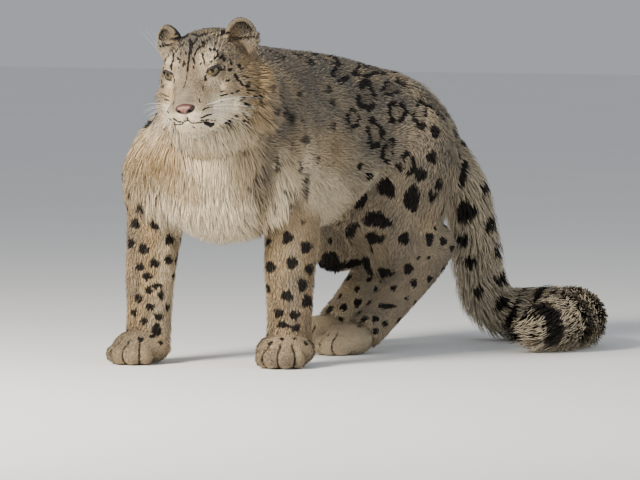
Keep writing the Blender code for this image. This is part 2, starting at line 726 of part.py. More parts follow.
def lock_mesh(root, normal, lie, kind, shorter, whole, chance):
    """Corners and faces of one flat, tapered lock that lies over the body and bends."""
    length, half_width, half_thick, sink, rise = LOCKS[kind]
    size = chance.uniform(*LOCK_SPREAD)
    sway = math.radians(chance.uniform(-LOCK_SWAY, LOCK_SWAY))
    bend = math.radians(chance.uniform(-LOCK_BEND, LOCK_BEND))
    up = normal.copy()
    ahead = (lie - up * lie.dot(up)).normalized()
    ahead.rotate(Quaternion(up, sway))
    spot = root.copy()
    before = 0.0
    corners = []
    for share, width, height in LOCK_SHAPE:
        spot, up, _, _ = whole.find_nearest(spot + ahead * ((share - before) * length * size * shorter))
        ahead.rotate(Quaternion(up, bend * (share - before)))
        ahead = (ahead - up * ahead.dot(up)).normalized()
        before = share
        middle = spot + up * (height * (sink if height < 0 else rise * size))
        if width == 0.0:
            corners.append(middle)
            break
        aside = up.cross(ahead) * (half_width * width * size)
        thick = up * (half_thick * (0.5 + 0.5 * width))
        corners += [middle - aside, middle - thick, middle + aside, middle + thick]
    faces = [(3, 2, 1, 0)]
    for row in (0, 4):
        for k in range(4):
            following = (k + 1) % 4
            faces.append((row + k, row + following, row + 4 + following, row + 4 + k))
    faces += [(8 + k, 8 + (k + 1) % 4, 12) for k in range(4)]
    return corners, faces


def is_clear(corners, faces, own, others):
    """True where a lock is rooted well inside its piece, above the ground and off the others."""
    if min(corner.z for corner in corners) < LOCK_FLOOR:
        return False
    for corner in corners[:4]:
        spot, normal, _, depth = own.find_nearest(corner)
        if depth < ROOT_DEPTH or (corner - spot).dot(normal) > 0:
            return False
    tree = BVHTree.FromPolygons(corners, faces)
    for other in others:
        if tree.overlap(other):
            return False
        if any(other.find_nearest(corner, LOCK_CLEAR)[0] for corner in corners):
            return False
    return True


def roots_in(piece, middle, reach, others, chance):
    """Endless spots on a piece inside a place, clear of the cuts, spread evenly."""
    places = []
    for face in piece.data.polygons:
        offset = face.center - middle
        if sum((offset[i] / reach[i]) ** 2 for i in range(3)) < 1.0:
            places.append(face)
    weights = [face.area for face in places]
    used = []
    while places:
        best = None
        for face in chance.choices(places, weights, k=14):
            corners = [piece.data.vertices[i].co for i in face.vertices]
            shares = [chance.random() + 0.05 for _ in corners]
            spot = blend(shares, corners) / sum(shares)
            if any(other.find_nearest(spot, ROOT_MARGIN)[0] for other in others):
                continue
            apart = min(((spot - old).length for old in used), default=1.0)
            if best is None or apart > best[0]:
                best = (apart, spot, face.normal.copy())
        if best:
            used.append(best[1])
        yield best


def grow_locks(pieces, zones):
    """Makes the locks of every place and fuses them with the piece that carries them."""
    chance = random.Random(SEED)
    trees = {name: tree_of(piece) for name, piece in pieces.items()}
    corners = [vert.co.copy() for piece in pieces.values() for vert in piece.data.vertices]
    faces = []
    start = 0
    for piece in pieces.values():
        faces += [[start + i for i in face.vertices] for face in piece.data.polygons]
        start += len(piece.data.vertices)
    whole = BVHTree.FromPolygons(corners, faces)
    grown = {name: [] for name in pieces}
    grown_trees = {name: [] for name in pieces}
    for name, middle, reach, lie, kind, number in zones:
        bases = [tree for other, tree in trees.items() if other != name]
        spots = roots_in(pieces[name], Vector(middle), reach, bases, chance)
        for _, best in zip(range(number), spots):
            if best is None:
                continue
            _, root, normal = best
            way = tail_lie(root) if lie is None else Vector(lie)
            others = bases + [tree for other, made in grown_trees.items() if other != name for tree in made]
            for shorter in LOCK_TRIES:
                made = lock_mesh(root, normal, way, kind, shorter, whole, chance)
                if is_clear(*made, trees[name], others):
                    grown[name].append(made)
                    grown_trees[name].append(BVHTree.FromPolygons(*made))
                    break
    for name, made in grown.items():
        if made:
            fuse(pieces[name], made)


def fuse(piece, locks):
    """Joins locks with the piece they grow from, by one union."""
    group = bpy.data.collections.new("locks")
    bpy.context.scene.collection.children.link(group)
    for corners, faces in locks:
        mesh = bpy.data.meshes.new("lock")
        mesh.from_pydata(corners, [], faces)
        group.objects.link(bpy.data.objects.new("lock", mesh))
    union = piece.modifiers.new("union", "BOOLEAN")
    union.operation = "UNION"
    union.operand_type = "COLLECTION"
    union.collection = group
    union.solver = "MANIFOLD"
    apply_modifiers(piece)
    for lock in list(group.objects):
        bpy.data.objects.remove(lock)
    bpy.data.collections.remove(group)
    keep_largest(piece)


def lock_zones():
    """Every place where locks grow, with those of the cheeks and the tail."""
    place = head_place()
    zones = list(ZONES)
    middle, reach, lie, kind, number = RUFF_ZONE
    for side in (1, -1):
        spot = place @ sided(Vector(middle), side)
        way = place.to_3x3() @ sided(Vector(lie), side)
        zones.append(("head", spot, reach, way, kind, number))
    for number, count in enumerate(TAIL_LOCKS, 1):
        zones.append((f"tail_{number}", (0.0, 0.0, 0.0), (FAR, FAR, FAR), None, "tail", count))
    return zones


def finish(piece):
    """Gives a piece its material and smooth shading."""
    finish_name = FINISH_OF.get(piece.name, "coat")
    colour, roughness = FINISHES[finish_name]
    material = bpy.data.materials.get(finish_name) or bpy.data.materials.new(finish_name)
    material.use_nodes = True
    shader = material.node_tree.nodes["Principled BSDF"]
    shader.inputs["Base Color"].default_value = (*colour, 1.0)
    shader.inputs["Roughness"].default_value = roughness
    material.diffuse_color = (*colour, 1.0)
    piece.data.materials.clear()
    piece.data.materials.append(material)
    piece.data.shade_smooth()
    piece.data.set_sharp_from_angle(angle=math.radians(SHARP))


def build():
    """Makes every piece and puts it in the collection."""
    for old in list(bpy.data.objects):
        bpy.data.objects.remove(old)
    legs = {
        "foreleg_left": (FORELEG_LEFT, "forepaw_left"),
        "foreleg_right": (FORELEG_RIGHT, "forepaw_right"),
        "hindleg_left": (FOOT_LEFT, "hindpaw_left"),
        "hindleg_right": (FOOT_RIGHT, "hindpaw_right"),
    }
    forms = [trunk_form(), neck_form(), skull_stump()]
    for rows in (THIGH_LEFT, SHANK_LEFT, THIGH_RIGHT, SHANK_RIGHT):
        forms.append(limb("muscle", rows))
    for rows, _ in legs.values():
        forms.append(limb("leg", rows, LEG_SWELL))
    stump = smooth_between(TAIL, TAIL_STEPS)[: TAIL_CUTS[0] + 3]
    forms.append(loft("stump", limb_rings(stump, 20)))
    body = joined("torso_rear", forms, BODY_GRAIN, BODY_TRIANGLES, 14)
    make_root(body)
    make_head(body)
    make_tail()
    pieces = {}
    for name, side in (("foreleg_left", 1.0), ("foreleg_right", -1.0)):
        planes = leg_planes(0.17, side, FORELEG_EDGE, FORELEG_BACK, -1.0)
        pieces[name] = parted(body, name, planes)
    for name, side in (("hindleg_left", 1.0), ("hindleg_right", -1.0)):
        planes = leg_planes(0.66, side, HINDLEG_EDGE, THIGH_FRONT, 1.0)
        pieces[name] = parted(body, name, planes)
    for name, (rows, paw) in legs.items():
        make_paw(paw, rows, pieces[name])
    loin, out = flat_across(LOIN_CUT, 1.0)
    front = parted(body, "torso_front", [(loin, out.cross(UP))])
    tilt = Matrix.Rotation(math.radians(NECK_CUT_TILT), 3, "X")
    parted(front, "neck", [(NECK_CUT, tilt @ Vector((0.2, -1.0, 0.0)))])
    made = {piece.name: piece for piece in bpy.context.scene.collection.objects}
    grow_locks(made, lock_zones())
    group = bpy.data.collections.new("snow leopard")
    bpy.context.scene.collection.children.link(group)
    for piece in list(bpy.context.scene.collection.objects):
        piece.data.transform(Matrix.Translation(-MIDDLE))
        finish(piece)
        group.objects.link(piece)
        bpy.context.scene.collection.objects.unlink(piece)


def skull_stump():
    """A plain copy of the skull, so that the neck runs on into the head."""
    form = skull_form()
    form.data.transform(head_place())
    return form


build()
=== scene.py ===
"""A snow leopard, life size and still: its skin, coat, eyes, nose and whiskers.

The body's tables repeat those of the solids, in metres and degrees. The animal faces -Y,
its left side is +X, and the ground is z = 0. Every mesh is made in the tables' own place and
is moved over the origin at the end.
"""

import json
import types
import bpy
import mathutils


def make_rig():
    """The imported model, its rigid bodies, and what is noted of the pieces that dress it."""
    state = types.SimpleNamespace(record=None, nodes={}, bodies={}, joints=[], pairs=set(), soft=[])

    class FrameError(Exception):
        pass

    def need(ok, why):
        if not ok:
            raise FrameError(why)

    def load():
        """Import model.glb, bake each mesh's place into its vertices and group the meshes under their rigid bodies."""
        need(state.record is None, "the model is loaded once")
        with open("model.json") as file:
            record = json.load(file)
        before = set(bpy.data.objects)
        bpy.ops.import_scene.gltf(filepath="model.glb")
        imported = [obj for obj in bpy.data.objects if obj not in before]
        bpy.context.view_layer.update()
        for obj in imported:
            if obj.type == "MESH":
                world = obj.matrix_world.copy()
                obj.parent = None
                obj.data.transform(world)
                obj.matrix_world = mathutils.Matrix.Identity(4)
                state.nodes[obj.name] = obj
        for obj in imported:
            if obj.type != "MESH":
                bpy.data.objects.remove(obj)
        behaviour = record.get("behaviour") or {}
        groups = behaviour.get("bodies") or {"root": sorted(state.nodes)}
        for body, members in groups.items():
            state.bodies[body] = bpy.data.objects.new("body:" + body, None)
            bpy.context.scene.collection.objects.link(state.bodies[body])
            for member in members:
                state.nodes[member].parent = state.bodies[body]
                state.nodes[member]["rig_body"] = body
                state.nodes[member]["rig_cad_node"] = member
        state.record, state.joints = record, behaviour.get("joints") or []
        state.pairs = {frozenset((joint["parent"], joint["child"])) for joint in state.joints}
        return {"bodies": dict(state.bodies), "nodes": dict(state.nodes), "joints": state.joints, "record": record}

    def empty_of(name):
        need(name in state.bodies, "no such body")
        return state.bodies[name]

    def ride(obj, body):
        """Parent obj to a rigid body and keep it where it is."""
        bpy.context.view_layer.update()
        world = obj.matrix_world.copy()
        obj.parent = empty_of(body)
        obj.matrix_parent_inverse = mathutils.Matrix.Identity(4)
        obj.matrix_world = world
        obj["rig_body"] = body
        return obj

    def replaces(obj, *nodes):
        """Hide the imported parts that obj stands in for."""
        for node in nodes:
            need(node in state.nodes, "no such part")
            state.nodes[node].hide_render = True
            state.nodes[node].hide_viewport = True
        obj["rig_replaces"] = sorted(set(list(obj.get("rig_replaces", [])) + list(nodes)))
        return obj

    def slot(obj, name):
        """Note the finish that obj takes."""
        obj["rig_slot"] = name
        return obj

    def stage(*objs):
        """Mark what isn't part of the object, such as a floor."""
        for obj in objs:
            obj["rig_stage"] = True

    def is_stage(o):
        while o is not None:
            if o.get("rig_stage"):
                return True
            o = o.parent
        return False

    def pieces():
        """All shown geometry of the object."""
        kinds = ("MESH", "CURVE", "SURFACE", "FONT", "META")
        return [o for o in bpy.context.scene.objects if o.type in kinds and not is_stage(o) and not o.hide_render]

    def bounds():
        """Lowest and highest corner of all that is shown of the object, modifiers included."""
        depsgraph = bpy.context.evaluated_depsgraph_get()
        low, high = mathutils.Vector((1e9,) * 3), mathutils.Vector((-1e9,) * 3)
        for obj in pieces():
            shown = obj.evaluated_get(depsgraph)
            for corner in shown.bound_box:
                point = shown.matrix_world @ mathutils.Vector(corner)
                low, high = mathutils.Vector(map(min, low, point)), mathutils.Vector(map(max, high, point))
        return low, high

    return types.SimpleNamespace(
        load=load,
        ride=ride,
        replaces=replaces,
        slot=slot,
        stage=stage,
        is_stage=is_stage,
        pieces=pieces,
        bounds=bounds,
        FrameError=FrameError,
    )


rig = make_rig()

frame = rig.load()

import json
import logging
import math
from dataclasses import astuple, dataclass, field, replace
from enum import Enum, IntEnum

import bmesh
import bpy
import numpy as np
from mathutils import Euler, Matrix, Vector, kdtree

LOG = logging.getLogger("snow_leopard")
SIZE_FILE = "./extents.json"
SEED = 11
# points that are worked out at a time
BATCH = 20000
UP = Vector((0.0, 0.0, 1.0))

# trunk: the chest runs straight, the back bends in one arc to the root of the tail
CHEST_LENGTH = 0.24
BACK_LENGTH = 0.62
CHEST_HEADING = 17.0
RUMP_HEADING = -31.0
CHEST_FRONT = Vector((0.023, -0.153, 0.0))

# middle of the whole body in plan, which is set over the origin at the end
MIDDLE = Vector((0.0834, 0.2920, 0.0))


def metres(*rows: tuple) -> list:
    """Turns rows from millimetres into metres."""
    return [tuple(number / 1000 for number in row) for row in rows]


def joints(*rows: tuple) -> list:
    """Turns rows of a point's three numbers and its sizes from millimetres into metres."""
    return [(Vector(row[:3]), *row[3:]) for row in metres(*rows)]


# trunk sections: distance from the chest front, top, bottom, half width, depth of the coat
TRUNK = metres(
    (20, 436, 330, 40, 24), (50, 481, 287, 85, 24), (110, 541, 256, 114, 21),
    (200, 566, 245, 124, 19), (290, 568, 246, 124, 18), (390, 561, 246, 122, 18),
    (490, 554, 250, 122, 18), (580, 543, 266, 118, 18), (660, 526, 280, 110, 18),
    (740, 508, 286, 98, 18), (800, 472, 286, 80, 18), (845, 424, 300, 52, 18),
)

# neck: points of its centre line with half width, half height and coat
NECK = joints(
    (-20, 40, 438, 104, 104, 21), (2, -50, 463, 95, 93, 22), (22, -105, 488, 83, 80, 19),
    (36, -145, 510, 68, 70, 12),
)

# head: place of the skull's middle, and its turn to the side, nod and tilt
SKULL = Vector((0.046, -0.154, 0.524))
HEAD_TURN = 15.0
HEAD_NOD = 13.0
HEAD_TILT = -5.5

# skull sections from the nape to the muzzle: place behind the middle, half width, top,
# bottom and the level of the widest place
HEAD = metres(
    (110, 34, 44, -24, 10), (90, 62, 66, -50, 6), (52, 80, 80, -64, -4), (12, 85, 85, -70, -12),
    (-20, 81, 82, -74, -16), (-42, 71, 73, -76, -18), (-58, 60, 58, -77, -22),
    (-72, 49, 41, -77, -30), (-86, 41, 25, -76, -36), (-100, 38, 9, -75, -38),
    (-112, 33, -4, -72, -38), (-121, 24, -14, -64, -38), (-126, 12, -24, -52, -38),
)
FACE_COAT = 0.003
# distance from the nose, and length of the hair there
FACE_LENGTHS = ((0.02, 0.05, 0.10, 0.15, 0.20), (0.0042, 0.0062, 0.0100, 0.0170, 0.0300))

# eyes: radius of the ball, place of the left one's middle in the head, thickness of a lid,
# half sizes of the opening and its slant
EYE_RADIUS = 0.0155
EYE_PLACE = Vector((0.0385, -0.0575, 0.0285))
LID = 0.0030
EYE_OPENING = Vector((0.0150, 0.0200, 0.0085))
EYE_SLANT = -14.0

# nose leather and nostrils, in the head's frame
NOSE_PLACE = Vector((0.0, -0.1200, -0.0215))
NOSE_SIZE = Vector((0.0200, 0.0110, 0.0125))
NOSTRIL_PLACE = Vector((0.0105, -0.1290, -0.0245))
NOSTRIL_SIZE = Vector((0.0042, 0.0060, 0.0030))
# how far the leather is pressed flat, and lowered
NOSE_LOW = (0.80, -0.0032)
# painted shade along the opening of the left nostril, across and up from the middle of the nose
NOSTRIL_LINE = ((0.0070, -0.0070), (0.0118, -0.0035), (0.0165, 0.0015), (0.0190, 0.0075))

# mouth: points of the left half of its line in the head's frame
MOUTH = (
    Vector((0.0, -0.1250, -0.0430)),
    Vector((0.0130, -0.1220, -0.0480)),
    Vector((0.0260, -0.1100, -0.0520)),
    Vector((0.0360, -0.0900, -0.0530)),
    Vector((0.0400, -0.0740, -0.0560)),
)

# ears: middle of the left one, outer half sizes, hollow, and its lean and turn
EAR_PLACE = Vector((0.0690, 0.0240, 0.0630))
EAR_SIZE = Vector((0.0300, 0.0170, 0.0380))
EAR_HOLLOW = Vector((0.0245, 0.0150, 0.0320))
EAR_HOLLOW_SHIFT = Vector((0.0, -0.0095, 0.0015))
EAR_LEAN = 6.0
EAR_TURN = 26.0

# legs: joints from the top down with radius and coat at each
FORELEG_LEFT = joints(
    (56, 60, 420, 50, 18), (66, 10, 350, 58, 18), (92, 40, 262, 46, 10), (104, 20, 170, 41, 7),
    (112, 8, 85, 36, 7), (116, 0, 35, 38, 7),
)
FORELEG_RIGHT = joints(
    (-122, 10, 420, 50, 18), (-138, -40, 350, 58, 18), (-166, -25, 262, 46, 10),
    (-160, -50, 170, 41, 7), (-152, -66, 85, 36, 7), (-148, -75, 35, 38, 7),
)
THIGH_LEFT = joints(
    (5, 540, 430, 70, 16), (28, 500, 350, 92, 16), (40, 444, 268, 86, 14), (42, 385, 205, 56, 12),
)
SHANK_LEFT = joints(
    (44, 378, 200, 52, 12), (69, 440, 210, 55, 10), (102, 502, 206, 31, 9), (110, 518, 204, 26, 9),
)
FOOT_LEFT = joints(
    (110, 516, 216, 26, 9), (97, 480, 166, 31, 7), (66, 385, 80, 31, 7), (50, 330, 36, 32, 7),
)
THIGH_RIGHT = joints(
    (-65, 590, 430, 70, 16), (-98, 565, 350, 92, 16), (-114, 530, 270, 84, 14),
    (-118, 470, 210, 56, 12),
)
SHANK_RIGHT = joints(
    (-117, 466, 204, 52, 12), (-108, 542, 208, 53, 10), (-94, 618, 206, 34, 9),
    (-92, 634, 204, 27, 9),
)
FOOT_RIGHT = joints(
    (-92, 636, 210, 27, 9), (-98, 604, 160, 32, 7), (-112, 530, 78, 31, 7), (-120, 480, 36, 32, 7),
)

# paws: middle of each, heading of its toes and size; half sizes of the pad and of a toe
PAWS = {
    "forepaw_left": (Vector((0.124, -0.022, 0.0)), 24.0, 1.0),
    "forepaw_right": (Vector((-0.146, -0.098, 0.0)), 8.0, 1.0),
    "hindpaw_left": (Vector((0.040, 0.298, 0.0)), -18.0, 0.94),
    "hindpaw_right": (Vector((-0.124, 0.450, 0.0)), -10.0, 0.94),
}
PAW_SIZE = Vector((0.055, 0.053, 0.034))
TOE_SIZE = Vector((0.0185, 0.0280, 0.0215))
TOES = ((-38.0, 0.044), (-13.0, 0.051), (13.0, 0.051), (38.0, 0.044))

# tail: points of its centre line with the radius out to the tips of the fur
TAIL = joints(
    (12, 640, 392, 52), (28, 694, 330, 52), (34, 728, 245, 51), (38, 746, 155, 52),
    (53, 762, 86, 54), (100, 781, 57, 56), (165, 793, 55, 57), (229, 771, 56, 58),
    (281, 722, 57, 58), (314, 659, 57, 58), (326, 593, 55, 56), (315, 536, 49, 48),
    (293, 502, 40, 22),
)

# rings of the tail: half width of a soft edge, and start and end along it
RING_EDGE = 0.006
TAIL_RINGS = (
    (0.395, 0.415), (0.455, 0.480), (0.515, 0.545), (0.580, 0.612), (0.645, 0.680), (0.712, 0.750),
    (0.782, 0.822), (0.850, 0.960),
)

# how far the skin lies inside the tips of the coat, form by form
TRUNK_INSET = 0.010
NECK_INSET = 0.011
LIMB_INSET = 0.0035
THIGH_INSET = 0.008
PAW_INSET = 0.0022
TAIL_INSET = 0.016
FACE_INSET = 0.0026
EAR_INSET = 0.0010

# fineness of the skin, and rounds of smoothing
BODY_GRAIN = 0.0070
HEAD_GRAIN = 0.0020
PAW_GRAIN = 0.0028
BODY_ROUNDS = 10
HEAD_ROUNDS = 12
PAW_ROUNDS = 4

# view of the picture: heading and height of the camera, the point that its measures start
# from, width of the picture, its middle from that point, and distance of the camera
VIEW_TURN = 35.0
VIEW_RISE = 3.0
VIEW_START = Vector((0.120, 0.0, 0.0))
VIEW_WIDTH = 1.165
VIEW_MIDDLE = (0.0537, 0.2294)
VIEW_DISTANCE = 9.0

# the picture's size, the pixel that its measures start from, and metres to a pixel
PICTURE_SIZE = (640, 480)
PICTURE_ZERO = (291.0, 368.0)
PICTURE_SCALE = 0.00185

# markings seen in the picture, in tenths of a millimetre: place across and up, half width and
# half height, and turn in degrees
TENTHS = 10000
# how near the skin's corners must be to the place of a marking, or of a stroke
NEAR_MARK = 0.009
NEAR_STROKE = 0.0045
ROSETTES = (
    (910, 5420, 177, 166, 0), (1390, 5490, 260, 177, 20), (2090, 5290, 166, 114, 25),
    (2480, 5220, 83, 73, 0), (1830, 5140, 198, 146, 20), (1960, 4720, 198, 229, -20),
    (2410, 4660, 146, 312, 0), (2890, 4700, 83, 114, 0), (1390, 5010, 198, 312, 10),
    (1130, 4590, 135, 198, 0), (1540, 4330, 166, 302, 10), (1810, 4020, 140, 270, -15),
    (2160, 3740, 155, 240, -10),
)
SPOTS = (
    (2660, 4330, 90, 130, 0), (2590, 3850, 110, 130, 0), (2370, 3550, 110, 130, 10),
    (3050, 4110, 70, 150, 10), (3180, 3590, 100, 280, -10), (3530, 3310, 90, 130, 0),
    (3260, 2900, 150, 190, 0), (1280, 3720, 80, 80, 0), (1440, 3550, 80, 80, 0),
    (1780, 3290, 160, 200, 20), (2220, 3110, 150, 260, -10), (1310, 3050, 90, 190, -35),
    (1590, 2700, 250, 150, -15), (1150, 2520, 90, 190, -35), (1570, 2390, 190, 120, -10),
    (2700, 3370, 80, 110, 0), (2570, 3160, 80, 110, 0), (2070, 2370, 110, 130, 0),
    (1760, 1760, 130, 90, 0), (2160, 1830, 110, 110, 0), (1740, 1130, 170, 50, 0),
    (1550, 890, 70, 60, 0), (1720, 810, 60, 60, 0), (1260, 800, 70, 60, 0), (1550, 670, 70, 60, 0),
    (2550, 2370, 80, 110, 0), (1220, 1890, 170, 110, -15), (1650, 350, 60, 90, 0),
    # the next two spots paint deep shade under the belly, by the left hind knee
    (740, 1920, 222, 222, 0), (1130, 1920, 167, 102, 0),
)
SMUDGES = (
    (680, 5140, 117, 150, 10), (760, 4900, 117, 130, 0), (760, 4460, 117, 150, 0),
    (-630, 4270, 117, 70, 0), (-850, 3960, 90, 90, 0), (-260, 3660, 117, 110, 0),
    (-540, 3500, 117, 70, 0), (-90, 3240, 117, 110, 0), (-830, 3240, 70, 60, 0),
    (-280, 2890, 104, 80, 0), (220, 2680, 80, 90, 0), (260, 3330, 104, 430, 0),
    (-20, 4590, 143, 190, 10), (260, 4220, 117, 150, 0), (170, 5050, 143, 130, 0),
    (-300, 4770, 117, 110, 0), (500, 3850, 91, 130, 0), (-2130, 4140, 74, 111, 0),
    (-2500, 4570, 74, 93, 0), (-2590, 3890, 65, 129, 25), (-2900, 4070, 56, 129, 0),
    (-2830, 3550, 65, 129, 10), (-2960, 3180, 56, 129, 0), (-2740, 3180, 65, 93, 0),
    (-540, 4990, 62, 241, 0), (-430, 4370, 62, 241, 5), (-260, 3810, 62, 278, 5),
    (-130, 4740, 73, 222, 10), (20, 4110, 62, 222, 5), (170, 3700, 62, 259, 5),
    (-650, 3550, 73, 129, 0), (-810, 3330, 74, 93, 0), (-540, 3030, 84, 111, 0),
    (-390, 5180, 60, 167, 0), (-200, 5250, 60, 148, 0), (-300, 3000, 73, 129, 0),
    (-20, 3000, 73, 148, 0), (-760, 4630, 56, 111, -30), (-890, 4990, 56, 93, -50),
    (-800, 5250, 46, 111, -50),
)
LEG_SPOTS = (
    (-2870, 2660, 101, 114, 0), (-2500, 2660, 114, 129, 0), (-2740, 2940, 101, 86, 0),
    (-2960, 2290, 86, 114, 0), (-2720, 2180, 101, 114, 0), (-2260, 2350, 101, 114, 0),
    (-2530, 1920, 101, 101, 0), (-2790, 1850, 86, 86, 0), (-2280, 1980, 86, 101, 0),
    (-2650, 1680, 101, 86, 0), (-2480, 1500, 114, 57, 0), (-60, 2390, 114, 129, 0),
    (-430, 2310, 86, 86, 0), (260, 2220, 114, 129, 0), (-370, 1850, 114, 114, 0),
    (20, 1920, 114, 129, 0), (200, 1520, 101, 129, 0), (-70, 1310, 114, 114, 0),
    (280, 1220, 101, 129, 0), (-220, 1000, 101, 101, 0), (60, 960, 101, 101, 0),
    (-150, 780, 101, 86, 0), (70, 720, 101, 86, 0), (-430, 1440, 86, 101, 0),
    (310, 1810, 86, 114, 0), (-2810, 1260, 83, 93, 0), (-2610, 1110, 93, 83, 0),
    (-2420, 1330, 74, 93, 0), (-2720, 850, 83, 74, 0), (-2460, 920, 83, 74, 0),
    (-2630, 1410, 74, 83, 0), (-2890, 1000, 65, 83, 0), (-2310, 1110, 56, 83, 0),
    (-390, 460, 59, 56, 0), (-170, 540, 59, 56, 0), (70, 560, 59, 56, 0), (280, 460, 56, 56, 0),
    (-40, 410, 48, 48, 0), (-2790, 520, 65, 56, 0), (-2570, 590, 65, 56, 0),
    (-2420, 460, 56, 48, 0),
)
TAIL_SPOTS = (
    (3200, 3020, 90, 130, -15), (3630, 2660, 130, 150, -15), (3240, 2390, 110, 130, -15),
    (3760, 2160, 110, 170, -15), (3350, 1980, 110, 110, -15), (3830, 1630, 130, 150, -10),
    (3900, 1180, 150, 130, -10), (3500, 1440, 90, 110, -10), (4050, 540, 150, 150, -10),
)
# soft patches of colour, in the same way, with shares of pale, of warm and of strength; one is painted shade on the
# right side of the face
SHADES = (
    (-2870, 3850, 204, 1018, 0, 0.05, 0.4, 0.9), (-2420, 4030, 370, 296, 20, 0.12, 0.8, 0.95),
    (-1680, 4070, 296, 333, 0, 0.66, 0.85, 0.8), (-2610, 3590, 241, 370, 0, 0.4, 0.7, 0.7),
    (-1960, 3550, 407, 204, 0, 0.36, 0.8, 0.85), (-890, 4030, 241, 740, -5, 0.22, 0.48, 0.85),
    (-500, 4030, 222, 1147, -5, 0, 0.14, 0.9), (-1280, 3700, 185, 370, 0, 0.6, 0.55, 0.7),
    (-1780, 2850, 777, 407, 0, 0.95, 0.35, 0.8), (310, 3550, 241, 555, 8, 0.8, 0.62, 0.95),
    (720, 3180, 296, 481, 10, 0.85, 0.22, 0.9), (-390, 1780, 167, 962, 0, 0.04, 0.4, 0.7),
    (60, 1630, 148, 1018, 0, 0.06, 0.08, 0.7), (-2890, 2180, 129, 962, 0, 0, 0.25, 0.7),
    (-2610, 2180, 148, 925, 0, 0.04, 0.6, 0.7), (-2310, 2280, 93, 833, 0, 0.5, 0.52, 0.7),
    (2660, 2330, 222, 629, 10, 0.34, 0.66, 0.8), (-20, 4770, 222, 740, 0, 0, 0.22, 0.6),
    (-1960, 5140, 185, 333, 8, 0.06, 0.2, 0.9), (-1630, 4850, 129, 129, 0, 0.28, 0.28, 0.8),
    (-1280, 4850, 259, 204, 10, 0.92, 0.8, 0.9), (-980, 4550, 222, 185, 0, 0.46, 0.56, 0.8),
    (-1390, 5220, 167, 129, 0, 0.3, 0.22, 0.8), (-1870, 5880, 259, 259, 0, 0, 0.1, 0.9),
    (-1200, 5960, 259, 148, -20, 0.12, 0.3, 0.7), (-760, 5250, 129, 481, 0, 0, 0.5, 0.75),
    # the first patch on the next line is painted shade on the right side of the face, as greyer hair
    (-2410, 5180, 129, 481, 0, 0, 0.16, 0.8), (-2200, 3850, 185, 333, 10, 0.22, 0.85, 0.7),
    (500, 4030, 185, 407, 0, 0.3, 0.45, 0.7), (-1590, 5700, 167, 148, 0, 0.62, 0.55, 0.55),
    (-2240, 5590, 111, 167, 0, 0.5, 0.5, 0.45), (-850, 5620, 148, 259, 0, 0, 0.62, 0.6),
)

# colours of the hair
GREY_FUR = (0.205, 0.178, 0.140)
TAN_FUR = (0.520, 0.330, 0.140)
CREAM_FUR = (0.920, 0.790, 0.570)
CORE_FUR = (0.140, 0.110, 0.078)
DARK_FUR = (0.016, 0.013, 0.011)

# tufts in the whole coat, side of a tuft's patch in the UV map, triangles in a tuft on
# average, and the most in one piece
TUFTS = 132000
TUFT_PATCH = 0.003
TUFT_FACES = 12.5
PIECE_FACES = 190000
# sets regions apart where tufts are sorted by place
REGION_STEP = 10.0
# tufts longer than this bend in two places; each ring: place on the line, width, place along
LONG_TUFT = 0.031
LONG_RINGS = ((0.0, 0.62, 0.0), (1.0, 1.0, 0.36), (2.0, 0.62, 0.70))
SHORT_RINGS = ((0.0, 0.70, 0.0), (1.45, 1.0, 0.52))
# tufts to each one that leads a clump
CLUMP_SHARE = 14
# columns of what the hair is like at a place
LENGTH, WIDTH, LIFT, PALE, WARM = range(5)


class Region(IntEnum):
    """Parts of the body that the coat is told apart by."""

    TRUNK = 0
    NECK = 1
    HEAD = 2
    FORELEG_LEFT = 3
    FORELEG_RIGHT = 4
    THIGH_LEFT = 5
    THIGH_RIGHT = 6
    FOOT_LEFT = 7
    FOOT_RIGHT = 8
    PAW_FORE_LEFT = 9
    PAW_FORE_RIGHT = 10
    PAW_HIND_LEFT = 11
    PAW_HIND_RIGHT = 12
    TAIL = 13


BODY = (Region.TRUNK, Region.NECK)
FORELEGS = (Region.FORELEG_LEFT, Region.FORELEG_RIGHT)
THIGHS = (Region.THIGH_LEFT, Region.THIGH_RIGHT)
FEET = (Region.FOOT_LEFT, Region.FOOT_RIGHT)
PAW_REGIONS = (
    Region.PAW_FORE_LEFT,
    Region.PAW_FORE_RIGHT,
    Region.PAW_HIND_LEFT,
    Region.PAW_HIND_RIGHT,
)


class Tone(Enum):
    """What a stroke on the face changes."""

    DARK = 0
    PALE = 1
    WARM = 2


class Mark(Enum):
    """Kinds of marking."""

    ROSETTE = "rosette"
    SPOT = "spot"
    SMUDGE = "smudge"


@dataclass(frozen=True)
class Hair:
    """The hair of one part of the body.

    Args:
        length: length of a tuft.
        width: width of a tuft.
        lift: angle at the root, in degrees.
        pale: share of cream white.
        warm: share of tan.
    """

    length: float
    width: float
    lift: float
    pale: float
    warm: float


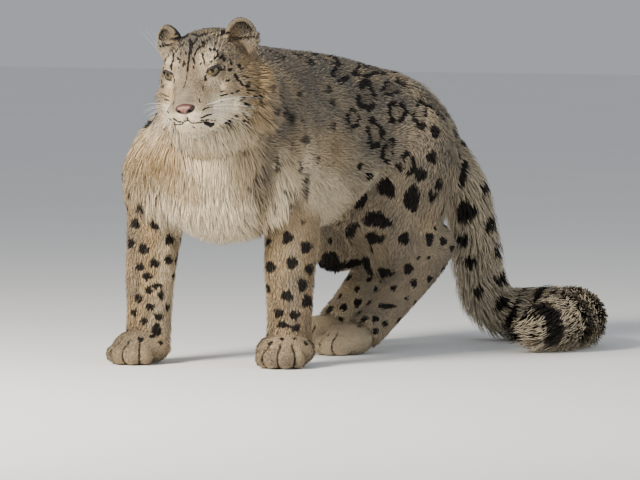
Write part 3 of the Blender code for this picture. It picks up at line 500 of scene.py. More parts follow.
HAIR = {
    Region.TRUNK: Hair(0.025, 0.0023, 30.0, 0.10, 0.06),
    Region.NECK: Hair(0.034, 0.0026, 32.0, 0.22, 0.45),
    Region.HEAD: Hair(0.010, 0.0012, 28.0, 0.30, 0.50),
    Region.FORELEG_LEFT: Hair(0.014, 0.0018, 34.0, 0.05, 0.40),
    Region.FORELEG_RIGHT: Hair(0.014, 0.0018, 34.0, 0.02, 0.42),
    Region.THIGH_LEFT: Hair(0.022, 0.0022, 28.0, 0.14, 0.14),
    Region.THIGH_RIGHT: Hair(0.022, 0.0022, 28.0, 0.14, 0.14),
    Region.FOOT_LEFT: Hair(0.012, 0.0017, 32.0, 0.14, 0.20),
    Region.FOOT_RIGHT: Hair(0.012, 0.0017, 32.0, 0.14, 0.20),
    Region.PAW_FORE_LEFT: Hair(0.0085, 0.0014, 32.0, 0.10, 0.28),
    Region.PAW_FORE_RIGHT: Hair(0.0085, 0.0014, 32.0, 0.10, 0.32),
    Region.PAW_HIND_LEFT: Hair(0.0085, 0.0014, 32.0, 0.36, 0.36),
    Region.PAW_HIND_RIGHT: Hair(0.0085, 0.0014, 32.0, 0.36, 0.36),
    Region.TAIL: Hair(0.046, 0.0028, 38.0, 0.50, 0.12),
}
# how close the tufts stand, as a share of what their size asks for
CROWD = {region: 1.0 for region in Region}
CROWD |= {Region.HEAD: 2.5, Region.FORELEG_LEFT: 0.78, Region.FORELEG_RIGHT: 0.72}
CROWD |= {Region.FOOT_LEFT: 0.78, Region.FOOT_RIGHT: 0.62, Region.PAW_FORE_LEFT: 0.85}
CROWD |= {Region.PAW_FORE_RIGHT: 0.80, Region.PAW_HIND_LEFT: 0.75, Region.PAW_HIND_RIGHT: 0.60}

# how dark smudges and the spots of the forelegs are
SMUDGE_STRENGTH = 0.66
LEG_STRENGTH = 0.70
# markings where the picture shows none: kind, least distance apart and half size
SCATTER = {region: (Mark.SPOT, 0.027, 0.0080) for region in FORELEGS}
SCATTER |= {region: (Mark.SPOT, 0.044, 0.0150) for region in THIGHS}
SCATTER |= {region: (Mark.SPOT, 0.024, 0.0065) for region in FEET}
SCATTER |= {Region.TRUNK: (Mark.ROSETTE, 0.062, 0.024), Region.NECK: (Mark.SMUDGE, 0.040, 0.011)}
SCATTER |= {Region.HEAD: (Mark.SPOT, 0.011, 0.0021)}
CHEST_SCATTER = (Mark.SMUDGE, 0.044, 0.014)
SCATTER_TRIES = 26000

# strokes of the face: half width, strength in hundredths, and points in the picture, their
# measures in tenths of a millimetre
STROKES = {
    Tone.DARK: (
        (35, 90, -1850, 6049, -1832, 5938, -1850, 5827),
        (22, 85, -1869, 5827, -1887, 5679, -1905, 5506),
        (15, 55, -1905, 5506, -1924, 5352, -1980, 5184),
        (20, 85, -1721, 6087, -1794, 5994, -1850, 5883),
        (28, 60, -2202, 6105, -2054, 6068, -1905, 6124),
        (28, 60, -1832, 6160, -1683, 6124, -1536, 6179),
        (15, 95, -1776, 5791, -1721, 5902, -1647, 5948, -1554, 5929, -1462, 5865),
        (17, 95, -1424, 5911, -1369, 5865, -1351, 5791), (19, 100, -1351, 5809, -1415, 5716),
        (17, 100, -1351, 5809, -1323, 5754), (19, 100, -1277, 5791, -1230, 5698),
        (20, 100, -1138, 5698, -1101, 5621), (26, 100, -971, 5602, -925, 5534),
        (22, 90, -1240, 5583, -1221, 5563), (35, 100, -1138, 5525, -1119, 5525),
        (28, 100, -1036, 5429, -980, 5323), (24, 100, -944, 5295, -897, 5239),
        (28, 100, -833, 5221, -777, 5184), (28, 95, -1175, 5313, -1156, 5313),
        (17, 60, -1258, 5352, -1240, 5342), (24, 85, -842, 5371, -823, 5371),
        (15, 90, -2035, 5902, -2035, 5791), (15, 85, -2044, 5735, -2054, 5640),
        (17, 85, -1970, 5679, -1989, 5583), (15, 80, -2063, 5573, -2063, 5554),
        (17, 85, -1933, 5846, -1933, 5809), (19, 90, -1804, 5735, -1776, 5640),
        (17, 85, -1798, 5583, -1794, 5544), (24, 62, -1628, 5827, -1610, 5698, -1582, 5621),
        (26, 95, -1637, 6031, -1591, 5994), (19, 90, -1526, 6105, -1508, 6068),
        (17, 90, -1545, 6040, -1526, 6040), (20, 90, -1424, 6142, -1424, 6096),
        (20, 80, -1480, 6188, -1462, 6188), (20, 80, -1351, 6133, -1240, 6160, -1166, 6216),
        (24, 95, -1582, 5390, -1576, 5332),
        (15, 42, -1591, 5332, -1617, 5258, -1628, 5165, -1600, 5110),
        (19, 62, -1628, 5211, -1622, 5156), (17, 95, -1332, 5544, -1230, 5525),
        (17, 70, -1698, 4971, -1679, 4915), (15, 90, -1632, 4767, -1590, 4799),
        (15, 90, -1566, 4808, -1524, 4814), (13, 80, -1489, 4810, -1454, 4803),
        (17, 90, -1659, 4632, -1632, 4640), (19, 95, -1607, 4653, -1581, 4666),
        (19, 95, -1556, 4679, -1530, 4688), (15, 85, -1504, 4697, -1445, 4712),
        (15, 85, -1659, 4582, -1607, 4588), (15, 85, -1573, 4592, -1521, 4592),
        (15, 80, -1487, 4586, -1402, 4570), (39, 100, -1573, 4536, -1504, 4503, -1453, 4508),
        (28, 100, -1487, 4499, -1470, 4462), (13, 85, -1913, 4638, -1904, 4573),
        (15, 85, -1900, 4573, -1826, 4527, -1715, 4536, -1607, 4555),
        (15, 80, -1909, 4577, -1992, 4549, -2085, 4555, -2177, 4619),
        (13, 60, -1313, 5110, -1203, 5137), (17, 70, -1312, 5036, -1166, 5073),
        (20, 85, -1110, 5086, -1073, 5095), (19, 85, -1008, 5123, -971, 5132),
        (20, 85, -796, 5128, -684, 5110), (24, 90, -703, 4999, -574, 4980),
        (17, 80, -814, 5082, -740, 5091), (15, 70, -666, 5036, -574, 5045),
        (28, 90, -851, 4906, -759, 4851), (19, 85, -1036, 4693, -944, 4666),
        (22, 70, -888, 4740, -814, 4693), (17, 70, -1180, 4555, -1110, 4545),
        (31, 80, -925, 4582, -833, 4536), (19, 60, -1307, 4943, -1280, 4934),
        (19, 75, -2211, 5506, -2202, 5660, -2155, 5809, -2081, 5892),
        (24, 55, -2368, 5506, -2313, 5698, -2229, 5837, -2128, 5911),
        # the next stroke is painted shade down the shaded side of the nose's bridge
        (22, 40, -2118, 5202, -2143, 5036, -2156, 4888, -2168, 4758),
        (19, 50, -2405, 5091, -2291, 5036), (17, 70, -1789, 4453, -1770, 4444),
        (15, 60, -1826, 4462, -1815, 4455), (15, 60, -1659, 4447, -1648, 4444),
    ),
    Tone.PALE: (
        (83, 85, -1517, 5809, -1517, 5698), (48, 55, -1665, 5583, -1665, 5390),
        (44, 56, -1536, 5285, -1406, 5313), (111, 56, -1449, 4925, -1270, 4906, -1092, 4925),
        (56, 100, -1826, 4656, -1696, 4629), (56, 56, -2122, 4601, -1992, 4582),
        (83, 100, -2011, 4444, -1863, 4388, -1641, 4388), (83, 100, -1937, 4314, -1715, 4296),
        (56, 70, -2128, 5698, -2146, 5544), (44, 80, -2313, 5239, -2239, 5211),
    ),
    Tone.WARM: (
        (129, 80, -833, 5660, -722, 5467, -722, 5239),
        (111, 75, -944, 5091, -759, 4943, -666, 4832), (93, 45, -1424, 5165, -1203, 5202),
        (93, 70, -1055, 6142, -1018, 5994),
    ),
}


# ---------------------------------------------------------------- shapes


def spine_at(distance: float) -> tuple[Vector, float]:
    """Gives the spine's point in plan and its heading.

    Args:
        distance: distance from the front of the chest.

    Returns:
        The point and the heading in radians.
    """
    front = math.radians(CHEST_HEADING)
    back = Vector((-math.sin(front), math.cos(front), 0.0))
    if distance <= CHEST_LENGTH:
        return CHEST_FRONT + back * distance, front
    turn = math.radians(RUMP_HEADING) - front
    here = front + turn * (distance - CHEST_LENGTH) / BACK_LENGTH
    sweep = Vector((math.cos(here) - math.cos(front), math.sin(here) - math.sin(front), 0.0))
    return CHEST_FRONT + back * CHEST_LENGTH + sweep * (BACK_LENGTH / turn), here


def blend(weights: tuple, values: tuple) -> float | Vector:
    """Weighted sum of numbers or vectors.

    Args:
        weights: the weights.
        values: as many numbers or vectors.

    Returns:
        The sum.
    """
    total = values[0] * weights[0]
    for weight, value in zip(weights[1:], values[1:]):
        total = total + value * weight
    return total


def smooth_between(rows: tuple, steps: int) -> list:
    """Puts more rows between rows, on one smooth curve.

    Args:
        rows: rows of numbers and vectors.
        steps: new rows for each old one.

    Returns:
        The denser rows.
    """
    dense = []
    last = len(rows) - 1
    for i in range(last):
        points = (rows[max(i - 1, 0)], rows[i], rows[i + 1], rows[min(i + 2, last)])
        for j in range(steps):
            t = j / steps
            weights = (
                (-t + 2 * t**2 - t**3) / 2,
                (2 - 5 * t**2 + 3 * t**3) / 2,
                (t + 4 * t**2 - 3 * t**3) / 2,
                (-(t**2) + t**3) / 2,
            )
            dense.append(tuple(blend(weights, values) for values in zip(*points)))
    dense.append(tuple(rows[last]))
    return dense


def link(name: str, mesh: bpy.types.Mesh) -> bpy.types.Object:
    """Puts a mesh in the scene.

    Args:
        name: the object's name.
        mesh: its mesh.

    Returns:
        The object.
    """
    piece = bpy.data.objects.new(name, mesh)
    bpy.context.scene.collection.objects.link(piece)
    return piece


def mesh_object(name: str, made: bmesh.types.BMesh) -> bpy.types.Object:
    """Makes an object from a bmesh, which is freed.

    Args:
        name: the object's name.
        made: its mesh.

    Returns:
        The object.
    """
    mesh = bpy.data.meshes.new(name)
    made.to_mesh(mesh)
    made.free()
    return link(name, mesh)


def loft(name: str, rings: list) -> bpy.types.Object:
    """Makes a closed skin over rings of points.

    Args:
        name: the object's name.
        rings: rings with the same number of points.

    Returns:
        The object.
    """
    made = bmesh.new()
    rows = [[made.verts.new(point) for point in ring] for ring in rings]
    for near, far in zip(rows, rows[1:]):
        for k in range(len(near)):
            following = (k + 1) % len(near)
            made.faces.new((near[k], near[following], far[following], far[k]))
    made.faces.new(list(reversed(rows[0])))
    made.faces.new(rows[-1])
    bmesh.ops.recalc_face_normals(made, faces=made.faces)
    return mesh_object(name, made)


def oval(
    centre: Vector,
    across: Vector,
    upward: Vector,
    half_width: float,
    half_height: float,
    sides: int = 24,
    power: float = 2.2,
) -> list:
    """Makes a ring of points on a rounded oval.

    Args:
        centre: middle of the ring.
        across: its level direction.
        upward: its other direction.
        half_width: reach across.
        half_height: reach upward.
        sides: number of points.
        power: 2 for an ellipse, more for a squarer ring.

    Returns:
        The points.
    """
    ring = []
    for k in range(sides):
        angle = 2 * math.pi * k / sides
        wide = math.copysign(abs(math.cos(angle)) ** (2 / power), math.cos(angle))
        high = math.copysign(abs(math.sin(angle)) ** (2 / power), math.sin(angle))
        ring.append(centre + across * (wide * half_width) + upward * (high * half_height))
    return ring


def ball(
    name: str, centre: Vector, size: Vector, turn: Matrix = None, segments: int = 24
) -> bpy.types.Object:
    """Makes an ellipsoid.

    Args:
        name: the object's name.
        centre: its middle.
        size: its three half sizes.
        turn: a rotation, if any.
        segments: faces round it.

    Returns:
        The object.
    """
    made = bmesh.new()
    bmesh.ops.create_uvsphere(made, u_segments=segments, v_segments=segments * 2 // 3, radius=1.0)
    place = Matrix.Translation(centre) @ (turn or Matrix()) @ Matrix.Diagonal((*size, 1.0))
    bmesh.ops.transform(made, matrix=place, verts=made.verts)
    return mesh_object(name, made)


def limb_rings(rows: list, sides: int) -> list:
    """Makes round rings along points, turned as little as they can be.

    Args:
        rows: points, each with a radius.
        sides: points in a ring.

    Returns:
        The rings.
    """
    rings = []
    across = None
    for i, (centre, radius) in enumerate(rows):
        ahead = rows[min(i + 1, len(rows) - 1)][0] - rows[max(i - 1, 0)][0]
        ahead.normalize()
        if across is None:
            across = ahead.cross(UP if abs(ahead.z) < 0.8 else Vector((0.0, 1.0, 0.0)))
        across = (across - ahead * across.dot(ahead)).normalized()
        rise = across.cross(ahead).normalized()
        rings.append(oval(centre, across, rise, radius, radius, sides, 2.0))
    return rings


def limb(name: str, rows: tuple, inset: float) -> bpy.types.Object:
    """Makes a tapered round limb through joints."""
    coated = [(centre, radius + coat - inset) for centre, radius, coat in rows]
    return loft(name, limb_rings(smooth_between(coated, 5), 24))


def trunk_form() -> bpy.types.Object:
    """Makes the trunk from the front of the chest to the rump.

    Returns:
        The object.
    """
    rings = []
    for distance, top, bottom, half_width, coat in smooth_between(TRUNK, 4):
        centre, heading = spine_at(distance)
        across = Vector((math.cos(heading), math.sin(heading), 0.0))
        centre.z = (top + bottom) / 2
        skin = coat - TRUNK_INSET
        rings.append(oval(centre, across, UP, half_width + skin, (top - bottom) / 2 + skin, 36))
    return loft("trunk", rings)


def neck_form() -> bpy.types.Object:
    """Makes the neck from inside the chest to inside the skull.

    Returns:
        The object.
    """
    rings = []
    rows = smooth_between(NECK, 4)
    for i, (centre, half_width, half_height, coat) in enumerate(rows):
        ahead = rows[min(i + 1, len(rows) - 1)][0] - rows[max(i - 1, 0)][0]
        across = ahead.cross(UP).normalized()
        rise = across.cross(ahead).normalized()
        skin = coat - NECK_INSET
        rings.append(oval(centre, across, rise, half_width + skin, half_height + skin, 32))
    return loft("neck_form", rings)


def head_place() -> Matrix:
    """Gives the matrix that sets the head's own frame in the body's.

    Returns:
        The matrix.
    """
    nod = Matrix.Rotation(math.radians(HEAD_NOD), 4, "X")
    tilt = Matrix.Rotation(math.radians(HEAD_TILT), 4, "Y")
    turn = Matrix.Rotation(math.radians(HEAD_TURN), 4, "Z")
    return Matrix.Translation(SKULL) @ turn @ nod @ tilt


def turned(side: int, *angles: float) -> Matrix:
    """Turns a form on one side of the head, mirrored for the right one."""
    x, y, z = (math.radians(angle) for angle in angles)
    return Euler((x, y * side, z * side)).to_matrix().to_4x4()


def sided(place: Vector, side: int) -> Vector:
    """Mirrors a place in the head for the right side."""
    return Vector((place.x * side, place.y, place.z))


def mirrored(name: str, centre: tuple, size: tuple, angles: tuple = (0.0, 0.0, 0.0)) -> list:
    """Makes a pair of ellipsoids, one on each side of the head.

    Args:
        name: name of both.
        centre: middle of the left one.
        size: half sizes.
        angles: turn of the left one.

    Returns:
        The two objects.
    """
    middle = Vector(centre)
    inset = Vector((FACE_INSET,) * 3)
    return [
        ball(name, sided(middle, side), Vector(size) - inset, turned(side, *angles), 36)
        for side in (1, -1)
    ]


def skull_form() -> bpy.types.Object:
    """Makes the head from the nape to the muzzle, its widest level set section by section.

    Returns:
        The object.
    """
    rings = []
    grown = FACE_COAT - FACE_INSET
    for place, half_width, top, bottom, widest in smooth_between(HEAD, 4):
        ring = oval(Vector(), Vector((1.0, 0.0, 0.0)), UP, half_width + grown, 1.0, 40, 2.15)
        for point in ring:
            reach = (top if point.z > 0 else bottom) - widest
            point.z = widest + abs(point.z) * (reach + math.copysign(grown, reach))
            point.y = place
        rings.append(ring)
    return loft("skull", rings)


def head_forms() -> list:
    """Makes the skull with its cheeks, brows, muzzle, whisker pads, chin and lids.

    Returns:
        The objects.
    """
    lid = EYE_RADIUS + LID + 0.0015
    pairs = (
        ("ruff", (0.070, 0.030, -0.034), (0.034, 0.040, 0.062), (0, -10, 0)),
        ("cheek", (0.052, -0.006, -0.036), (0.036, 0.050, 0.038), (0, 0, 12)),
        ("cheekbone", (0.046, -0.036, -0.006), (0.024, 0.036, 0.022), (0, 0, 24)),
        ("brow", (0.034, -0.046, 0.048), (0.026, 0.020, 0.014), (0, 12, 24)),
        ("lid", EYE_PLACE, (lid,) * 3, (0, 0, 0)),
        ("whisker_pad", (0.0215, -0.1035, -0.0330), (0.0235, 0.0260, 0.0195), (0, 0, 0)),
    )
    middles = (
        ("bridge", (0.0, -0.0770, 0.0020), (0.0240, 0.0520, 0.0210), 25.0),
        ("muzzle", (0.0, -0.0980, -0.0230), (0.0330, 0.0280, 0.0240), 0.0),
        ("chin", (0.0, -0.0960, -0.0630), (0.0260, 0.0245, 0.0190), 0.0),
    )
    forms = [skull_form()]
    for name, centre, size, angles in pairs:
        forms += mirrored(name, centre, size, angles)
    for name, centre, size, tip in middles:
        inner = Vector(size) - Vector((FACE_INSET,) * 3)
        forms.append(ball(name, Vector(centre), inner, turned(1, tip, 0.0, 0.0)))
    for form in forms:
        form.data.transform(head_place())
    return forms


def paw_forms(name: str) -> list:
    """Makes the pad and toes of a paw, set a little into the ground.

    Args:
        name: the paw's name.

    Returns:
        The objects.
    """
    centre, heading, scale = PAWS[name]
    turn = Matrix.Rotation(math.radians(heading), 4, "Z")
    size = PAW_SIZE * scale
    inset = Vector((PAW_INSET,) * 3)
    pad = centre + Vector((0.0, 0.0, size.z * 0.86))
    forms = [ball(name, pad, size - inset, turn, 32)]
    for angle, reach in TOES:
        spread = turn @ Matrix.Rotation(math.radians(angle), 4, "Z")
        place = centre + (spread @ Vector((0.0, -reach * scale, 0.0)))
        place.z = TOE_SIZE.z * scale * 0.86
        half_spread = turn @ Matrix.Rotation(math.radians(angle * 0.5), 4, "Z")
        forms.append(ball(name, place, TOE_SIZE * scale - inset * 0.6, half_spread, 24))
    return forms


def apply_modifiers(target: bpy.types.Object) -> None:
    """Makes an object's modifiers part of its mesh.

    Args:
        target: the object.
    """
    graph = bpy.context.evaluated_depsgraph_get()
    mesh = bpy.data.meshes.new_from_object(target.evaluated_get(graph))
    target.modifiers.clear()
    old = target.data
    target.data = mesh
    bpy.data.meshes.remove(old)


def joined(name: str, forms: list, grain: float, rounds: int) -> bpy.types.Object:
    """Makes one closed body over forms that overlap, and softens it.

    Args:
        name: the object's name.
        forms: the objects, which are used up.
        grain: size of a voxel.
        rounds: rounds of smoothing.

    Returns:
        The object.
    """
    bpy.ops.object.select_all(action="DESELECT")
    for form in forms:
        form.select_set(True)
    whole = forms[0]
    bpy.context.view_layer.objects.active = whole
    bpy.ops.object.join()
    whole.name = name
    remesh = whole.modifiers.new("remesh", "REMESH")
    remesh.mode = "VOXEL"
    remesh.voxel_size = grain
    soften = whole.modifiers.new("soften", "SMOOTH")
    soften.factor = 0.5
    soften.iterations = rounds
    apply_modifiers(whole)
    return whole


def boolean(
    target: bpy.types.Object, tool: bpy.types.Object, operation: str, solver: str = "EXACT"
) -> None:
    """Applies one Boolean with a tool and removes the tool.

    Args:
        target: the object that changes.
        tool: the object that is used up.
        operation: UNION, DIFFERENCE or INTERSECT.
        solver: the solver's name.
    """
    modifier = target.modifiers.new(operation.lower(), "BOOLEAN")
    modifier.operation = operation
    modifier.object = tool
    modifier.solver = solver
    apply_modifiers(target)
    bpy.data.objects.remove(tool)


# ---------------------------------------------------------------- small sums


def step(low: float, high: float, values: np.ndarray) -> np.ndarray:
    """Smooth step from 0 to 1."""
    share = np.clip((values - low) / (high - low), 0.0, 1.0)
    return share * share * (3 - 2 * share)


def unit(rows: np.ndarray) -> np.ndarray:
    """Scales rows to length 1."""
    return rows / np.maximum(np.linalg.norm(rows, axis=1, keepdims=True), 1e-9)


def dots(rows: np.ndarray, others: np.ndarray) -> np.ndarray:
    """Dot product row by row."""
    return (rows * others).sum(axis=1)


def ledge_of(points: np.ndarray) -> np.ndarray:
    """Gives the share of the fold where the throat meets the chest."""
    return np.exp(-(((points[:, 2] - 0.410) / 0.036) ** 2)) * step(-0.07, -0.11, points[:, 1])


def in_head(points: np.ndarray) -> np.ndarray:
    """Gives places in the head's own frame."""
    place = np.array(head_place())
    return (points - place[:3, 3]) @ place[:3, :3]


def apart_from(points: np.ndarray, near: np.ndarray, far: np.ndarray) -> np.ndarray:
    """Gives the distance of points from the line between two others.

    Args:
        points: the points.
        near: the line's start.
        far: its end.

    Returns:
        The distances.
    """
    near, far = np.array(near), np.array(far)
    shaft = far - near
    share = np.clip((points - near) @ shaft / (shaft @ shaft), 0, 1)
    return np.linalg.norm(points - near - share[:, None] * shaft, axis=1)


def lean(values: np.ndarray, column: int, share: np.ndarray, target: float) -> None:
    """Draws one column of a table towards a value."""
    values[:, column] += share * (target - values[:, column])


def ear_base(points: np.ndarray) -> np.ndarray:
    """Gives the share of the fold where the ears rise from the head.

    Args:
        points: places.

    Returns:
        The share at each.
    """
    local = in_head(points)
    local[:, 0] = np.abs(local[:, 0])
    offset = (local - np.array(EAR_PLACE)) / np.array((0.036, 0.036, 0.046))
    inside = 1 - step(0.75, 1.05, np.linalg.norm(offset, axis=1))
    return inside * (1 - step(0.068, 0.080, local[:, 2])) * (1 - step(0.022, 0.030, local[:, 1]))


def flat_on(rows: np.ndarray, normals: np.ndarray) -> np.ndarray:
    """Lays vectors on the surface."""
    return unit(rows - normals * dots(rows, normals)[:, None])


def waves(points: np.ndarray, scale: float, seed: int) -> np.ndarray:
    """Soft noise between about -1 and 1 at points.

    Args:
        points: the points.
        scale: waves a metre, about.
        seed: picks the pattern.

    Returns:
        The noise.
    """
    chance = np.random.default_rng(seed)
    total = np.zeros(len(points))
    for _ in range(7):
        way = chance.normal(size=3) * scale * 2.2
        total += np.sin(points @ way + chance.uniform(0, 6.28))
    return total / 3.4


@dataclass
class Surface:
    """Points of the skin with their normals and what the coat needs there.

    Args:
        points: places.
        normals: unit normals.
        lie: the way the hair lies.
        region: number of the region.
        travel: place along the region, and round it.
        values: length, width, lift, pale, warm, one column each.
    """

    points: np.ndarray
    normals: np.ndarray
    lie: np.ndarray = None
    region: np.ndarray = None
    travel: np.ndarray = None
    values: np.ndarray = None


@dataclass
class Anatomy:
    """Bones that tell the coat where it is, which way it lies and how long it is.

    Args:
        starts: near ends.
        ends: far ends.
        radii: reach of the skin round each.
        regions: region of each.
        along: distance travelled in the region at the near end.
    """

    starts: list = field(default_factory=list)
    ends: list = field(default_factory=list)
    radii: list = field(default_factory=list)
    regions: list = field(default_factory=list)
    along: list = field(default_factory=list)

    def add(self, region: Region, rows: list) -> None:
        """Adds a chain of bones.

        Args:
            region: their region.
            rows: points, each with a radius.
        """
        travelled = 0.0
        for (start, near), (end, far) in zip(rows, rows[1:]):
            self.starts.append(tuple(start))
            self.ends.append(tuple(end))
            self.radii.append((near + far) / 2)
            self.regions.append(region)
            self.along.append(travelled)
            travelled += (end - start).length

    def build(self) -> None:
        """Lays the bones from the tables."""
        rows = []
        for distance, top, bottom, half_width, coat in TRUNK[1:]:
            centre, _ = spine_at(distance)
            centre.z = (top + bottom) / 2
            rows.append((centre, (top - bottom) / 2 + coat))
        self.add(Region.TRUNK, rows)
        neck = [(centre, half_width + coat) for centre, half_width, _, coat in reversed(NECK[:3])]
        self.add(Region.NECK, neck)
        place = head_place()
        skull = [(Vector((0, -0.11, -0.03)), 0.045), (Vector((0, -0.05, -0.005)), 0.075)]
        skull.append((Vector((0, 0.045, 0.005)), 0.095))
        self.add(Region.HEAD, [(place @ point, radius) for point, radius in skull])
        ear = [(Vector((0.060, 0.010, 0.035)), 0.040)]
        ear.append((EAR_PLACE + Vector((0.006, 0.0, 0.03)), 0.040))
        cheek = [(Vector((0.045, -0.01, -0.03)), 0.055), (Vector((0.072, 0.030, -0.045)), 0.050)]
        for side in (1, -1):
            for bones in (ear, cheek):
                rows = [(place @ sided(point, side), radius) for point, radius in bones]
                self.add(Region.HEAD, rows)
        chains = (
            (Region.FORELEG_LEFT, FORELEG_LEFT[1:]),
            (Region.FORELEG_RIGHT, FORELEG_RIGHT[1:]),
            (Region.THIGH_LEFT, THIGH_LEFT),
            (Region.THIGH_RIGHT, THIGH_RIGHT),
            (Region.FOOT_LEFT, SHANK_LEFT),
            (Region.FOOT_RIGHT, SHANK_RIGHT),
            (Region.FOOT_LEFT, FOOT_LEFT),
            (Region.FOOT_RIGHT, FOOT_RIGHT),
        )
        for region, rows in chains:
            self.add(region, [(centre, radius + coat) for centre, radius, coat in rows])
        low = Vector((0, 0, 0.024))
        for region, (centre, heading, scale) in zip(PAW_REGIONS, PAWS.values()):
            ahead = Matrix.Rotation(math.radians(heading), 3, "Z") @ Vector((0, -0.055 * scale, 0))
            self.add(region, [(centre - ahead * 0.3 + low, 0.052), (centre + ahead + low, 0.040)])
        self.add(Region.TAIL, TAIL)

    def read(self, surface: Surface) -> None:
        """Fills in what the coat needs at every point.

        Args:
            surface: the points, which are changed.
        """
        starts, ends = np.array(self.starts), np.array(self.ends)
        shafts = ends - starts
        lengths = np.linalg.norm(shafts, axis=1)
        ways = shafts / lengths[:, None]
        radii, regions = np.array(self.radii), np.array(self.regions)
        table = np.array([astuple(hair) for hair in HAIR.values()])
        count = len(surface.points)
        surface.lie = np.zeros((count, 3))
        surface.region = np.zeros(count, int)
        surface.travel = np.zeros((count, 2))
        surface.values = np.zeros((count, 5))
        for first in range(0, count, BATCH):
            part = slice(first, first + BATCH)
            points = surface.points[part]
            offset = points[:, None] - starts[None]
            share = np.clip((offset * ways).sum(2) / lengths, 0.0, 1.0)
            feet = starts + share[..., None] * shafts[None]
            apart = np.linalg.norm(points[:, None] - feet, axis=2) / radii
            near = apart.argmin(1)
            rows = np.arange(len(points))
            weights = np.exp(-7.0 * (apart**2 - (apart[rows, near] ** 2)[:, None]))
            weights /= weights.sum(1, keepdims=True)
            surface.lie[part] = weights @ ways
            surface.region[part] = regions[near]
            surface.values[part] = weights @ table[regions]
            out = points - feet[rows, near]
            surface.travel[part, 0] = np.array(self.along)[near] + share[rows, near] * lengths[near]
            way = ways[near]
            other = np.where(np.abs(way[:, 2:]) < 0.8, (0.0, 0.0, 1.0), (0.0, 1.0, 0.0))
            aside = unit(np.cross(way, other))
            rise = np.cross(aside, way)
            surface.travel[part, 1] = np.arctan2(dots(out, aside), dots(out, rise)) / 6.2832 + 0.5
        self.refine(surface)

    def refine(self, surface: Surface) -> None:
        """Adds what follows from the side that a point is on.

        Args:
            surface: the points, which are changed.
        """
        points, normals, values = surface.points, surface.normals, surface.values
        region = surface.region
        local = in_head(points)
        for side in (1, -1):
            offset = (local - np.array(sided(EAR_PLACE, side))) / np.array((0.045, 0.040, 0.060))
            region[(np.linalg.norm(offset, axis=1) < 1) & (local[:, 2] > 0.030)] = Region.HEAD
        across, upward = normals[:, 0], normals[:, 2]
        behind, height = points[:, 1], points[:, 2]
        body, trunk = np.isin(region, BODY), region == Region.TRUNK

        facing = -normals[:, 1] * math.cos(0.2) + across * 0.15
        chest = step(0.25, 0.75, facing) * step(0.475, 0.415, height) * step(0.06, -0.05, behind)
        chest = np.where(body, chest, 0.0)
        belly = np.where(trunk, step(0.10, 0.75, -upward), 0.0)
        flank = np.where(body, step(0.40, 0.27, height), 0.0)
        sides = np.where(body, 0.20 + 0.35 * flank, 0.0)
        shelf = np.where(body, step(-0.06, -0.10, behind) * step(0.15, 0.5, upward), 0.0)
        surface.lie += np.array((0.0, 0.0, -1.0)) * (sides + chest * 2.2)[:, None]
        surface.lie += np.array((0.15, -1.6, 0.0)) * shelf[:, None]
        surface.lie += np.array((0.0, 0.5, -0.25)) * belly[:, None]

        grow = np.maximum(chest, belly * 0.75)
        for column, target in ((LENGTH, 0.050), (WIDTH, 0.0020), (LIFT, 15.0)):
            lean(values, column, grow, target)
        sleek = np.where(body, step(0.15, 0.65, -across) * step(0.16, 0.0, behind), 0.0)
        lean(values, LENGTH, sleek, 0.021)
        lean(values, LIFT, sleek, 15.0)
        hang = np.where(body, step(-0.1, -0.5, upward) * step(0.05, -0.02, behind), 0.0)
        lean(values, LIFT, hang, 40.0)
        ledge = np.where(body, ledge_of(points), 0.0)
        lean(values, LENGTH, ledge, 0.052)
        lean(values, LIFT, ledge, 26.0)

        under = np.maximum(belly * 0.8, flank * 0.50)
        pale = np.maximum(chest * (0.26 + 0.70 * step(0.43, 0.33, height)), under)
        lean(values, PALE, pale, 0.96)
        values[:, PALE] -= np.where(trunk, 0.10 * step(0.42, 0.54, height), 0.0)
        tan = step(0.47, 0.36, height) * (1 - 0.6 * chest) * step(0.34, 0.20, behind)
        tan = np.where(body, tan, 0.0)
        lean(values, WARM, np.maximum(tan * 0.8, chest * 0.8), 0.66)

        breeches = np.isin(region, THIGHS) & (normals[:, 1] > 0.25)
        values[:, LENGTH] = np.where(breeches, 0.034, values[:, LENGTH])
        lefts = (Region.FORELEG_LEFT, Region.THIGH_LEFT, Region.FOOT_LEFT)
        inner = step(0.25, 0.9, np.where(np.isin(region, lefts), -across, across)) * 0.28
        values[:, PALE] += np.where(np.isin(region, FORELEGS + THIGHS + FEET), inner, 0.0)
        below = step(0.1, 0.8, -across * 0.7 - upward * 0.5) * 0.3
        values[:, PALE] += np.where(region == Region.TAIL, below, 0)
        self.face(surface)
        surface.lie = flat_on(surface.lie, normals)

